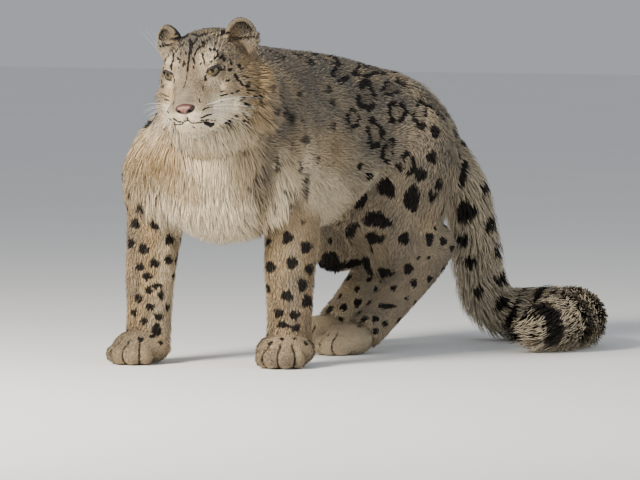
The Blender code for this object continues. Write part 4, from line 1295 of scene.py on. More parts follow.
    def face(self, surface: Surface) -> None:
        """Sets the hair of the head, from the nose back.

        Args:
            surface: the points, which are changed.
        """
        picked = np.nonzero(surface.region == Region.HEAD)[0]
        local = in_head(surface.points[picked])
        x, y, z = local.T
        side, wide = np.sign(x + 1e-9), np.abs(x)
        away = np.linalg.norm(local - np.array((0.0, -0.128, -0.018)), axis=1)
        lie = local - np.array((0.0, -0.165, -0.012))
        cheek = step(0.045, 0.075, wide) * step(-0.045, 0.0, y) * step(0.055, 0.0, z)
        drop = np.full((len(picked), 3), (0.0, 0.03, -0.11))
        drop[:, 0] = side * 0.02
        lie += cheek[:, None] * drop
        under = step(-0.045, -0.075, z)
        lie += under[:, None] * np.array((0.0, 0.02, -0.09))
        ear = np.zeros(len(picked))
        for one in (1, -1):
            offset = local - np.array(sided(EAR_PLACE, one))
            reach = np.linalg.norm(offset / np.array((0.034, 0.030, 0.046)), axis=1)
            near = (reach < 1.0) & (z > 0.066)
            ear = np.where(near, 1.0, ear)
            lie = np.where(near[:, None], offset + np.array((0.0, 0.0, 0.035)), lie)
        length = np.interp(away, *FACE_LENGTHS)
        length = length + cheek * (0.034 - length) + under * 0.010
        length = np.where(z > 0.020, np.minimum(length, 0.013), length)
        length = np.where(ear > 0, 0.0060, length)
        base = ear_base(surface.points[picked])
        length = length + base * (0.0050 - length)
        values = surface.values[picked]
        values[:, LENGTH] = length
        values[:, WIDTH] = np.clip(length * 0.085 + 0.0004, 0.0008, 0.0026)
        values[:, LIFT] = 26.0 + 6.0 * cheek + 12 * ear
        lean(values, LIFT, base, 58.0)
        chin = step(-0.040, -0.056, z) * step(0.06, 0.03, wide)
        lips = step(-0.026, -0.034, z) * step(-0.080, -0.098, y)
        lower = step(0.005, -0.045, z) * step(-0.02, -0.06, y)
        front = step(0.045, -0.02, y) * step(0.045, 0.010, z) * step(0.020, 0.040, wide)
        pale = 0.02 + 0.20 * front + 0.12 * lower + 0.85 * chin + 0.60 * lips
        values[:, PALE] = np.clip(pale, 0, 1)
        values[:, WARM] = np.clip(0.20 + 0.22 * cheek * (1 - chin) + 0.24 * front, 0, 1)
        surface.values[picked] = values
        surface.lie[picked] = unit(lie) @ np.array(head_place())[:3, :3].T


# ---------------------------------------------------------------- markings


@dataclass
class Markings:
    """Rosettes, spots and smudges, each with a place and two axes on the skin.

    Args:
        anatomy: the bones; not used.
        marks: rows of kind, place, two axes, two half sizes, normal and strength.
        strokes: rows of tone, half width, strength, points in the picture and whether mirrored.
    """

    anatomy: Anatomy
    marks: list = field(default_factory=list)
    strokes: list = field(default_factory=list)

    def view(self) -> tuple:
        """Gives the directions of the picture: across, up and towards the camera.

        Returns:
            Three unit vectors.
        """
        turn, rise = math.radians(VIEW_TURN), math.radians(VIEW_RISE)
        across = np.array((math.cos(turn), math.sin(turn), 0.0))
        level = math.cos(rise)
        back = np.array((math.sin(turn) * level, -math.cos(turn) * level, math.sin(rise)))
        return across, np.cross(back, across), back

    def plane(self, points: np.ndarray) -> np.ndarray:
        """Gives each point's place in the picture, as the camera sees it, and its depth.

        Args:
            points: places.

        Returns:
            Places across, up and towards the camera, one column each.
        """
        across, up, back = self.view()
        offset = points - np.array(VIEW_START)
        depth = offset @ back
        grown = VIEW_DISTANCE / (VIEW_DISTANCE - depth) * PICTURE_SIZE[0] / VIEW_WIDTH
        right = PICTURE_SIZE[0] / 2 + (offset @ across - VIEW_MIDDLE[0]) * grown
        down = PICTURE_SIZE[1] / 2 + (VIEW_MIDDLE[1] - offset @ up) * grown
        places = (right - PICTURE_ZERO[0], PICTURE_ZERO[1] - down)
        return np.stack([places[0] * PICTURE_SCALE, places[1] * PICTURE_SCALE, depth], 1)

    def seen(self, skin: Surface) -> tuple:
        """Gives each point's place in the picture, and how it faces the camera.

        Args:
            skin: the points.

        Returns:
            Places across, up, towards the camera, and the facing.
        """
        back = self.view()[2]
        places = self.plane(skin.points)
        return places[:, 0], places[:, 1], places[:, 2], skin.normals @ back

    def add_seen(self, skin: Surface, kind: Mark, rows: tuple, strength: float = 1.0) -> None:
        """Puts markings of the picture on the skin.

        Args:
            skin: the skin's points.
            kind: kind of marking.
            rows: places and sizes.
            strength: how dark they are.
        """
        across, up, _ = self.view()
        a, h, depth, facing = self.seen(skin)
        for *sizes, tilt in rows:
            x, y, half_width, half_height = (size / TENTHS for size in sizes)
            near = np.nonzero(((a - x) ** 2 + (h - y) ** 2 < NEAR_MARK**2) & (facing > 0.02))[0]
            if not len(near):
                continue
            spot = near[depth[near].argmax()]
            turn = math.radians(tilt)
            first = across * math.cos(turn) + up * math.sin(turn)
            second = up * math.cos(turn) - across * math.sin(turn)
            place = skin.points[spot] + across * (x - a[spot]) + up * (y - h[spot])
            halves = (half_width, half_height)
            self.marks.append((kind, place, first, second, *halves, skin.normals[spot], strength))

    def add_strokes(self, skin: Surface) -> None:
        """Places the small marks of the face, some of them on both its sides.

        Args:
            skin: the skin's points.
        """
        a, h, depth, facing = self.seen(skin)
        directions = np.array(self.view())
        found = []
        for tone, rows in STROKES.items():
            for width, strength, *points in rows:
                line = []
                for x, y in zip(points[::2], points[1::2]):
                    x, y = x / TENTHS, y / TENTHS
                    close = (a - x) ** 2 + (h - y) ** 2 < NEAR_STROKE**2
                    near = np.nonzero(close & (facing > -0.2))[0]
                    if len(near):
                        line.append((x, y, depth[near].max()))
                if len(line) < 2:
                    continue
                line = np.array(line)
                world = np.array(VIEW_START)
                for column, direction in enumerate(directions):
                    world = world + line[:, column : column + 1] * direction
                found.append((tone, width / TENTHS, strength / 100, line, in_head(world).mean(0)))
        for tone, width, strength, line, middle in found:
            other = middle * np.array((-1.0, 1.0, 1.0))
            same = [some for kind, _, _, _, some in found if kind is tone and some[0] < 0]
            apart = [np.linalg.norm(some - other) for some in same]
            twin = middle[0] > 0.007 and min(apart, default=1.0) > 0.009
            self.strokes.append((tone, width, strength, line, twin))

    def drawn(self, local: np.ndarray, wanted: Tone) -> np.ndarray:
        """Gives the share of the strokes of one tone.

        Args:
            local: places in the head's frame.
            wanted: the tone.

        Returns:
            The share at each place.
        """
        place = np.array(head_place())
        found = np.zeros(len(local))
        soft = 1.3 if wanted is Tone.DARK else 1.9
        for mirror in (False, True):
            flip = np.where(mirror & (local[:, :1] < 0), np.array((-1.0, 1.0, 1.0)), 1.0)
            seen = self.plane((local * flip) @ place[:3, :3].T + place[:3, 3])
            for tone, width, strength, line, twin in self.strokes:
                if tone is not wanted or (mirror and not twin):
                    continue
                reach = np.abs(line - line.mean(0)).max(0) + width * 2
                reach[2] += 0.014
                near_by = (np.abs(seen - line.mean(0)) < reach).all(1)
                if mirror:
                    near_by &= local[:, 0] < 0
                rows = np.nonzero(near_by)[0]
                for near, far in zip(line, line[1:]):
                    apart = apart_from(seen[rows, :2], near[:2], far[:2])
                    value = (1 - step(width * 0.55, width * soft, apart)) * strength
                    found[rows] = np.maximum(found[rows], value)
        return found

    def scatter(self, skin: Surface) -> None:
        """Spreads the species' markings where the picture shows none.

        Args:
            skin: the skin's points with their lie.
        """
        chance = np.random.default_rng(SEED)
        facing = self.seen(skin)[3]
        order = chance.permutation(len(skin.points))[:SCATTER_TRIES]
        taken = [mark[1] for mark in self.marks]
        sizes = [max(mark[4], mark[5]) for mark in self.marks]
        for index in order:
            region, point = int(skin.region[index]), skin.points[index]
            if region not in SCATTER or self.shown(region, facing[index], skin.values[index, PALE]):
                continue
            kind, apart, size = SCATTER[region]
            if region == Region.TRUNK and point[1] < 0.06:
                kind, apart, size = CHEST_SCATTER
            if region == Region.HEAD and not self.crown(point):
                continue
            gaps = np.linalg.norm(np.array(taken) - point, axis=1)
            if (gaps < np.maximum(apart, np.array(sizes) + size + 0.012)).any():
                continue
            normal = skin.normals[index]
            ahead = skin.lie[index]
            grow = size * chance.uniform(0.75, 1.2)
            halves = (grow, grow * chance.uniform(1.0, 1.5))
            strength = LEG_STRENGTH if region in FORELEGS else 1.0
            side = np.cross(normal, ahead)
            self.marks.append((kind, point, side, ahead, *halves, normal, strength))
            taken.append(point)
            sizes.append(size)

    def shown(self, region: int, facing: float, pale: float) -> bool:
        """Tells whether a place stays as the picture shows it, or is too pale for a marking.

        Args:
            region: its region.
            facing: how it faces the camera.
            pale: its share of cream white.

        Returns:
            True if it is.
        """
        if region == Region.HEAD:
            return False
        if pale > 0.60 or (region == Region.NECK and facing > 0.2):
            return True
        return facing > 0.25 and region not in (Region.NECK, *FEET)

    def crown(self, point: np.ndarray) -> bool:
        """Tells whether a place is on the forehead or the crown, where small dots are."""
        local = head_place().inverted() @ Vector(point)
        return local.z > 0.040 and abs(local.x) < 0.055 and local.y > -0.075

    def build(self, skin: Surface) -> None:
        """Lays every marking on the skin.

        Args:
            skin: the skin's points.
        """
        self.add_seen(skin, Mark.ROSETTE, ROSETTES)
        self.add_seen(skin, Mark.SPOT, SPOTS)
        self.add_seen(skin, Mark.SMUDGE, SMUDGES, SMUDGE_STRENGTH)
        self.add_seen(skin, Mark.SPOT, LEG_SPOTS, LEG_STRENGTH)
        self.add_seen(skin, Mark.SPOT, TAIL_SPOTS)
        self.add_strokes(skin)
        self.scatter(skin)
        LOG.info("%d markings", len(self.marks))

    def read(self, surface: Surface) -> tuple:
        """Gives the share of dark hair and painted shade, and of the grey inside rosettes.

        Args:
            surface: points with region and travel.

        Returns:
            Two arrays.
        """
        points = surface.points.astype(np.float32)
        dark = np.zeros(len(points), np.float32)
        core = np.zeros(len(points), np.float32)
        order = np.argsort(points[:, 1], kind="stable")
        level = points[order, 1]
        chance = np.random.default_rng(SEED + 1)
        for kind, place, one, two, half_width, half_height, normal, strength in self.marks:
            reach = max(half_width, half_height) * 1.7 + 0.004
            phase = chance.uniform(0, 6.28, 3)
            low, high = np.searchsorted(level, (place[1] - reach, place[1] + reach))
            rows = order[low:high]
            offset = points[rows] - place.astype(np.float32)
            inside = (offset**2).sum(1) < reach * reach
            inside &= surface.normals[rows] @ normal > 0.1
            rows, offset = rows[inside], offset[inside]
            x, y = offset @ one / half_width, offset @ two / half_height
            angle = np.arctan2(y, x)
            far = np.sqrt(x * x + y * y)
            far *= 1 + 0.11 * np.sin(3 * angle + phase[0]) + 0.07 * np.sin(5 * angle + phase[1])
            if kind is Mark.ROSETTE:
                gaps = step(0.01, 0.10, 0.5 + 0.5 * np.cos(2 * angle + phase[2]))
                core[rows] = np.maximum(core[rows], 1 - step(0.6, 0.8, far))
                value = step(0.50, 0.64, far) * (1 - step(0.90, 1.06, far)) * (0.25 + 0.75 * gaps)
            elif kind is Mark.SMUDGE:
                value = (1 - step(0.30, 1.35, far)) * 0.80
            else:
                value = 1 - step(0.80, 1.12, far)
            dark[rows] = np.maximum(dark[rows], value * strength)
        return self.extra(surface, dark), core

    def extra(self, surface: Surface, dark: np.ndarray) -> np.ndarray:
        """Adds the tail's rings, painted shade between the toes, the dark lines of the face, the ears, and dark fur
        with painted shade where the ears rise.

        Args:
            surface: points with region and travel.
            dark: the share of dark hair and painted shade so far.

        Returns:
            The new share.
        """
        tail = surface.region == Region.TAIL
        travel = surface.travel[:, 0] + 0.006 * waves(surface.points, 14.0, 5)
        outer = surface.normals @ np.array((0.45, -0.25, 0.85))
        rings = np.zeros(len(dark))
        for start, end in TAIL_RINGS:
            into = step(start - RING_EDGE, start + RING_EDGE, travel)
            out = step(end - RING_EDGE, end + RING_EDGE, travel)
            rings = np.maximum(rings, into * (1 - out))
        banded = np.maximum(rings * step(-0.75, 0.0, outer), step(0.835, 0.850, travel))
        dark = np.maximum(dark, np.where(tail, banded, 0.0))
        # painted shade between the toes
        dark = np.maximum(dark, self.toes(surface))
        head = np.nonzero(surface.region == Region.HEAD)[0]
        local = in_head(surface.points[head])
        lines = self.drawn(local, Tone.DARK)
        dark[head] = np.maximum(np.maximum(dark[head], lines), self.ears(local))
        # dark brown fur with painted shade in the fold where the ears rise from the head
        dark[head] = np.maximum(dark[head], 0.42 * ear_base(surface.points[head]))
        return dark

    def tint(self, surface: Surface) -> None:
        """Paints the pale and the tan patches of the face, and the soft patches of colour, painted shade among them.

        Args:
            surface: the points, which are changed.
        """
        head = np.nonzero(surface.region == Region.HEAD)[0]
        local = in_head(surface.points[head])
        pale, warm = self.drawn(local, Tone.PALE), self.drawn(local, Tone.WARM)
        values = surface.values[head]
        lean(values, WARM, 0.55 * warm, 1.0)
        old = values[:, PALE]
        values[:, PALE] = old * (1 - 0.3 * warm * (1 - pale)) + 0.50 * pale * (1 - old)
        surface.values[head] = values
        self.shade(surface)

    def shade(self, surface: Surface) -> None:
        """Lays the soft patches of paler and warmer hair, and painted shade on the right side of the face, on the side
        that the picture shows.

        Args:
            surface: the points, which are changed.
        """
        shaded = (*BODY, Region.HEAD, *FORELEGS, Region.THIGH_LEFT)
        rows = np.nonzero(np.isin(surface.region, shaded))[0]
        seen = self.plane(surface.points[rows])
        facing = step(-0.10, 0.30, surface.normals[rows] @ self.view()[2])
        for *sizes, tilt, pale, warm, strength in SHADES:
            x, y, half_width, half_height = (size / TENTHS for size in sizes)
            turn = math.radians(tilt)
            one, two = seen[:, 0] - x, seen[:, 1] - y
            first = (one * math.cos(turn) + two * math.sin(turn)) / half_width
            second = (two * math.cos(turn) - one * math.sin(turn)) / half_height
            share = (1 - step(0.45, 1.45, np.hypot(first, second))) * facing * strength
            for column, value in ((PALE, pale), (WARM, warm)):
                surface.values[rows, column] += share * (value - surface.values[rows, column])

    def toes(self, surface: Surface) -> np.ndarray:
        """Gives painted shade in the clefts between the toes.

        Args:
            surface: the points.

        Returns:
            The share of painted shade.
        """
        found = np.zeros(len(surface.points))
        for region, (centre, heading, scale) in zip(PAW_REGIONS, PAWS.values()):
            rows = np.nonzero(surface.region == region)[0]
            turn = np.array(Matrix.Rotation(math.radians(heading), 3, "Z"))
            local = (surface.points[rows] - np.array(centre)) @ turn / scale
            angle = np.degrees(np.arctan2(local[:, 0], -local[:, 1]))
            far = np.hypot(local[:, 0], local[:, 1])
            for edge in (-25.5, 0.0, 25.5):
                near = 1 - step(0.8, 5.5, np.abs(angle - edge) * far / 0.055)
                found[rows] = np.maximum(found[rows], near * step(0.030, 0.050, far) * 0.60)
        return found

    def ears(self, local: np.ndarray) -> np.ndarray:
        """Gives the darkening inside the ears, deeper towards their outer sides, and the dark hair round their rims.

        Args:
            local: places in the head's frame.

        Returns:
            The share of darkening.
        """
        found = np.zeros(len(local))
        for side in (1, -1):
            turn = np.array(turned(side, 0.0, EAR_LEAN, EAR_TURN).to_3x3())
            offset = (local - np.array(sided(EAR_PLACE, side))) @ turn
            near = (np.abs(offset) < np.array((0.036, 0.026, 0.046))).all(1) & (local[:, 2] > 0.060)
            hollow = (offset - np.array(EAR_HOLLOW_SHIFT)) / np.array(EAR_HOLLOW)
            hollow = np.linalg.norm(hollow, axis=1)
            spread = np.hypot(offset[:, 0] / EAR_SIZE.x, offset[:, 2] / EAR_SIZE.z)
            outer = step(-0.6, 0.5, offset[:, 0] / EAR_SIZE.x * side)
            edge = np.where(offset[:, 2] < 0.004, 0.42, 0.08)
            inside = (1 - step(0.0, 1.0, (hollow - 1.02) / edge)) * (0.50 + 0.22 * outer)
            back = step(1.02, 1.10, hollow) * step(0.55, 0.75, spread)
            back *= step(-0.004, 0.004, offset[:, 1])
            found = np.maximum(found, np.where(near, np.maximum(inside, back), 0.0))
        return found


# ---------------------------------------------------------------- meshes


def fast_mesh(name: str, points: np.ndarray, triangles: np.ndarray) -> bpy.types.Object:
    """Makes an object from arrays.

    Args:
        name: the object's name.
        points: corners.
        triangles: indices of corners, three a face.

    Returns:
        The object.
    """
    mesh = bpy.data.meshes.new(name)
    mesh.vertices.add(len(points))
    move_corners(mesh, points)
    mesh.loops.add(triangles.size)
    mesh.loops.foreach_set("vertex_index", triangles.astype(np.int32).ravel())
    mesh.polygons.add(len(triangles))
    mesh.polygons.foreach_set("loop_start", np.arange(0, triangles.size, 3, dtype=np.int32))
    smooth(mesh)
    mesh.update(calc_edges=True)
    return link(name, mesh)


def smooth(mesh: bpy.types.Mesh) -> None:
    """Shades a mesh smooth."""
    mesh.polygons.foreach_set("use_smooth", np.ones(len(mesh.polygons), bool))


def move_corners(mesh: bpy.types.Mesh, points: np.ndarray) -> None:
    """Moves a mesh's corners to new places."""
    mesh.vertices.foreach_set("co", points.astype(np.float32).ravel())


def mark_points(mesh: bpy.types.Mesh, name: str, values: np.ndarray) -> None:
    """Stores a number at each corner of a mesh."""
    layer = mesh.attributes.new(name, "FLOAT", "POINT")
    layer.data.foreach_set("value", values.astype(np.float32))


def corners_of(mesh: bpy.types.Mesh) -> tuple[np.ndarray, np.ndarray]:
    """Reads a mesh's corners and their normals.

    Args:
        mesh: the mesh.

    Returns:
        Points and normals.
    """
    count = len(mesh.vertices)
    points = np.empty(count * 3, np.float32)
    normals = np.empty(count * 3, np.float32)
    mesh.vertices.foreach_get("co", points)
    mesh.vertex_normals.foreach_get("vector", normals)
    return points.reshape(-1, 3).astype(float), normals.reshape(-1, 3).astype(float)


def settle(piece: bpy.types.Object, slot: str) -> None:
    """Moves a piece over the origin and hands it to the frame.

    Args:
        piece: the object.
        slot: its slot in the record.
    """
    piece.data.transform(Matrix.Translation(-MIDDLE))
    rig.ride(piece, "root")
    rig.slot(piece, slot)
    count = sum(len(face.vertices) - 2 for face in piece.data.polygons)
    LOG.info("%s: %d triangles", piece.name, count)


def tube(points: list, radii: list, sides: int = 8) -> tuple[np.ndarray, np.ndarray]:
    """Makes a round tube along points.

    Args:
        points: its centre line.
        radii: radius at each.
        sides: corners in a ring.

    Returns:
        Corners and triangles.
    """
    rings = limb_rings(list(zip(points, radii)), sides)
    corners = np.array([tuple(point) for ring in rings for point in ring])
    faces = []
    for row in range(len(rings) - 1):
        for k in range(sides):
            a, b = row * sides + k, row * sides + (k + 1) % sides
            faces += [(a, a + sides, b), (b, a + sides, b + sides)]
    last = (len(rings) - 1) * sides
    for k in range(1, sides - 1):
        faces += [(0, k, k + 1), (last, last + k + 1, last + k)]
    return corners, np.array(faces)


def tubes(name: str, lines: list, sides: int) -> bpy.types.Object:
    """Makes one object of several tubes.

    Args:
        name: the object's name.
        lines: each a list of points and a list of radii.
        sides: corners in a ring.

    Returns:
        The object.
    """
    corners, faces, total = [], [], 0
    for points, radii in lines:
        some, triangles = tube(points, radii, sides)
        corners.append(some)
        faces.append(triangles + total)
        total += len(some)
    made = fast_mesh(name, np.concatenate(corners), np.concatenate(faces))
    mended = bmesh.new()
    mended.from_mesh(made.data)
    bmesh.ops.recalc_face_normals(mended, faces=mended.faces)
    mended.to_mesh(made.data)
    mended.free()
    return made


def almond(side: int, grow: float, count: int = 40) -> list:
    """Gives the outline of the eye's opening, flat in front of the eye.

    Args:
        side: 1 for left, -1 for right.
        grow: how much wider than the opening it is.
        count: number of points.

    Returns:
        Points in the head's frame, on the ball of the eye.
    """
    middle = EYE_PLACE + Vector((0.004, -0.013, 0.0))
    turn = turned(1, 0.0, EYE_SLANT - 7.0, 30.0)
    line = []
    for k in range(count):
        angle = 2 * math.pi * k / count
        wide, high = math.cos(angle), math.sin(angle)
        pinch = (1.0 - 0.42 * abs(wide) ** 2.6) * (0.66 if high > 0 else 0.94)
        low = -0.0030 * max(0.0, -wide - 0.40)
        x = wide * (EYE_OPENING.x + grow)
        z = high * (EYE_OPENING.z * 0.98 + grow) * pinch + low
        point = middle + turn.to_3x3() @ Vector((x, 0.0, z))
        out = point - EYE_PLACE
        reach = EYE_RADIUS + 0.0004
        flat = math.hypot(out.x, out.z)
        if flat < reach * 0.995:
            out.y = -math.sqrt(reach * reach - flat * flat)
        line.append(sided(EYE_PLACE + out, side))
    return line


# ---------------------------------------------------------------- skin


@dataclass
class Skin:
    """The one closed skin that takes the place of the flesh.

    Args:
        anatomy: the bones.
        piece: the object, once it is built.
        surface: its corners.
    """

    anatomy: Anatomy
    piece: bpy.types.Object = None
    surface: Surface = None

    def body(self) -> bpy.types.Object:
        """Makes the trunk, neck, legs, paws and tail as one body.

        Returns:
            The object.
        """
        forms = [trunk_form(), neck_form()]
        for rows in (FORELEG_LEFT, FORELEG_RIGHT, FOOT_LEFT, FOOT_RIGHT, SHANK_LEFT, SHANK_RIGHT):
            forms.append(limb("limb", rows, LIMB_INSET))
        for rows in (THIGH_LEFT, THIGH_RIGHT):
            forms.append(limb("thigh", rows, THIGH_INSET))
        forms.append(limb("tail", [(centre, radius, 0.0) for centre, radius in TAIL], TAIL_INSET))
        body = joined("skin", forms, BODY_GRAIN, BODY_ROUNDS)
        for name in PAWS:
            paw = joined("paw", paw_forms(name), PAW_GRAIN, PAW_ROUNDS)
            boolean(body, paw, "UNION", "MANIFOLD")
        return body

    def ear(self, side: int) -> bpy.types.Object:
        """Makes a rounded ear that is hollow in front.

        Args:
            side: 1 for left, -1 for right.

        Returns:
            The object.
        """
        turn = turned(side, 0.0, EAR_LEAN, EAR_TURN)
        middle = sided(EAR_PLACE, side)
        inset = Vector((EAR_INSET,) * 3)
        ear = ball("ear", middle, EAR_SIZE - inset, turn, 40)
        hollow = middle + turn.to_3x3() @ EAR_HOLLOW_SHIFT
        boolean(ear, ball("hollow", hollow, EAR_HOLLOW, turn, 36), "DIFFERENCE")
        ear.data.transform(head_place())
        return ear

    def opening(self, side: int) -> bpy.types.Object:
        """Makes the cutter of the eye's opening.

        Args:
            side: 1 for left, -1 for right.

        Returns:
            The object.
        """
        outline = almond(side, 0.0)
        turn = turned(side, 0.0, 0.0, 17.0).to_3x3()
        middle = sided(EYE_PLACE, side)
        rings = []
        for depth in (-0.016, -0.004, 0.006, 0.016):
            ring = []
            for point in outline:
                local = turn.transposed() @ (point - middle)
                spread = 1.0 + 0.10 * max(0.0, -depth / 0.016)
                local = Vector((local.x * spread, -0.013 + depth, local.z * spread))
                ring.append(middle + turn @ local)
            rings.append(ring)
        cutter = loft("opening", rings)
        cutter.data.transform(head_place())
        return cutter

    def head(self) -> bpy.types.Object:
        """Makes the head with its ears and the openings of the eyes.

        Returns:
            The object.
        """
        forms = head_forms() + [self.ear(1), self.ear(-1)]
        head = joined("head", forms, HEAD_GRAIN, HEAD_ROUNDS)
        self.groove(head)
        for side in (1, -1):
            boolean(head, self.opening(side), "DIFFERENCE")
        return head

    def groove(self, head: bpy.types.Object) -> None:
        """Presses the mouth and the groove under the nose into the head.

        Args:
            head: the object.
        """
        points, normals = corners_of(head.data)
        flat = in_head(points)
        flat[:, 0] = np.abs(flat[:, 0])
        depth = np.zeros(len(points))
        lines = (
            (MOUTH, 0.0042, 0.0036),
            ((Vector((0, -0.128, -0.030)), Vector((0, -0.1255, -0.043))), 0.0030, 0.0026),
        )
        for line, width, deep in lines:
            for near, far in zip(line, line[1:]):
                apart = apart_from(flat, near, far)
                depth = np.maximum(depth, deep * (1 - step(0.0, width, apart)))
        points -= normals * depth[:, None]
        move_corners(head.data, points)
        head.data.update()

    def build(self) -> None:
        """Joins head and body and reads the coat's needs at every corner."""
        self.piece = self.body()
        boolean(self.piece, self.head(), "UNION", "MANIFOLD")
        mesh = self.piece.data
        whole = bmesh.new()
        whole.from_mesh(mesh)
        for vert in whole.verts:
            vert.co.z = max(vert.co.z, 0.0012)
        bmesh.ops.triangulate(whole, faces=whole.faces)
        whole.to_mesh(mesh)
        whole.free()
        smooth(mesh)
        mesh.update()
        points, normals = corners_of(mesh)
        self.surface = Surface(points, normals)
        self.anatomy.read(self.surface)

    def dress(self, markings: Markings) -> None:
        """Gives the skin its markings and its finish.

        Args:
            markings: the markings.
        """
        markings.tint(self.surface)
        dark, core = markings.read(self.surface)
        mesh = self.piece.data
        mark_points(mesh, "dark", np.maximum(dark, bare_face(self.surface.points)))
        mark_points(mesh, "core", core)
        mark_points(mesh, "pale", self.surface.values[:, PALE])
        mark_points(mesh, "warm", self.surface.values[:, WARM])
        mesh.materials.clear()
        mesh.materials.append(SkinFinish().material())
        nodes = [name for name in frame["nodes"] if name not in ("eye_left", "eye_right", "nose")]
        settle(self.piece, "spotted_coat")
        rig.replaces(self.piece, *nodes)


def off_nose(local: np.ndarray, scale: float) -> np.ndarray:
    """Gives the distance from the middle of the nose leather, which is 1 at its surface.

    Args:
        local: places in the head's frame.
        scale: size of the leather, as a share of its own.

    Returns:
        The distances.
    """
    size = np.array(NOSE_SIZE) * np.array((scale, scale, scale * NOSE_LOW[0]))
    offset = local - np.array(NOSE_PLACE) - np.array((0, 0, NOSE_LOW[1]))
    return np.linalg.norm(offset / size, axis=1)


def bare_face(points: np.ndarray) -> np.ndarray:
    """Gives the dark bare rim round the eyes and along the lips, which has no hair.

    Args:
        points: places.

    Returns:
        Its share at each.
    """
    local = in_head(points)
    found = np.zeros(len(points))
    near = np.nonzero((np.abs(local) < 0.15).all(1))[0]
    flat = local[near]
    flat[:, 0] = np.abs(flat[:, 0])
    share = np.zeros(len(near))
    for line, width in ((almond(1, 0.0003, 72), 0.0034), (MOUTH, 0.0017)):
        for point, following in zip(line, line[1:]):
            for t in (0.0, 0.33, 0.67):
                here = np.array(point) * (1 - t) + np.array(following) * t
                apart = np.linalg.norm(flat - here, axis=1)
                share = np.maximum(share, 1 - step(width * 0.72, width * 1.15, apart))
    share = np.maximum(share, 1 - step(0.92, 1.02, off_nose(flat, 1.0)))
    found[near] = share
    return found


# ---------------------------------------------------------------- coat


@dataclass
class Tufts:
    """The roots of all tufts with what each is like.

    Args:
        surface: places, normals and lie.
        dark: share of dark hair and painted shade.
        core: share of grey inside rosettes.
        chance: a random number for each.
    """

    surface: Surface
    dark: np.ndarray = None
    core: np.ndarray = None
    chance: np.ndarray = None


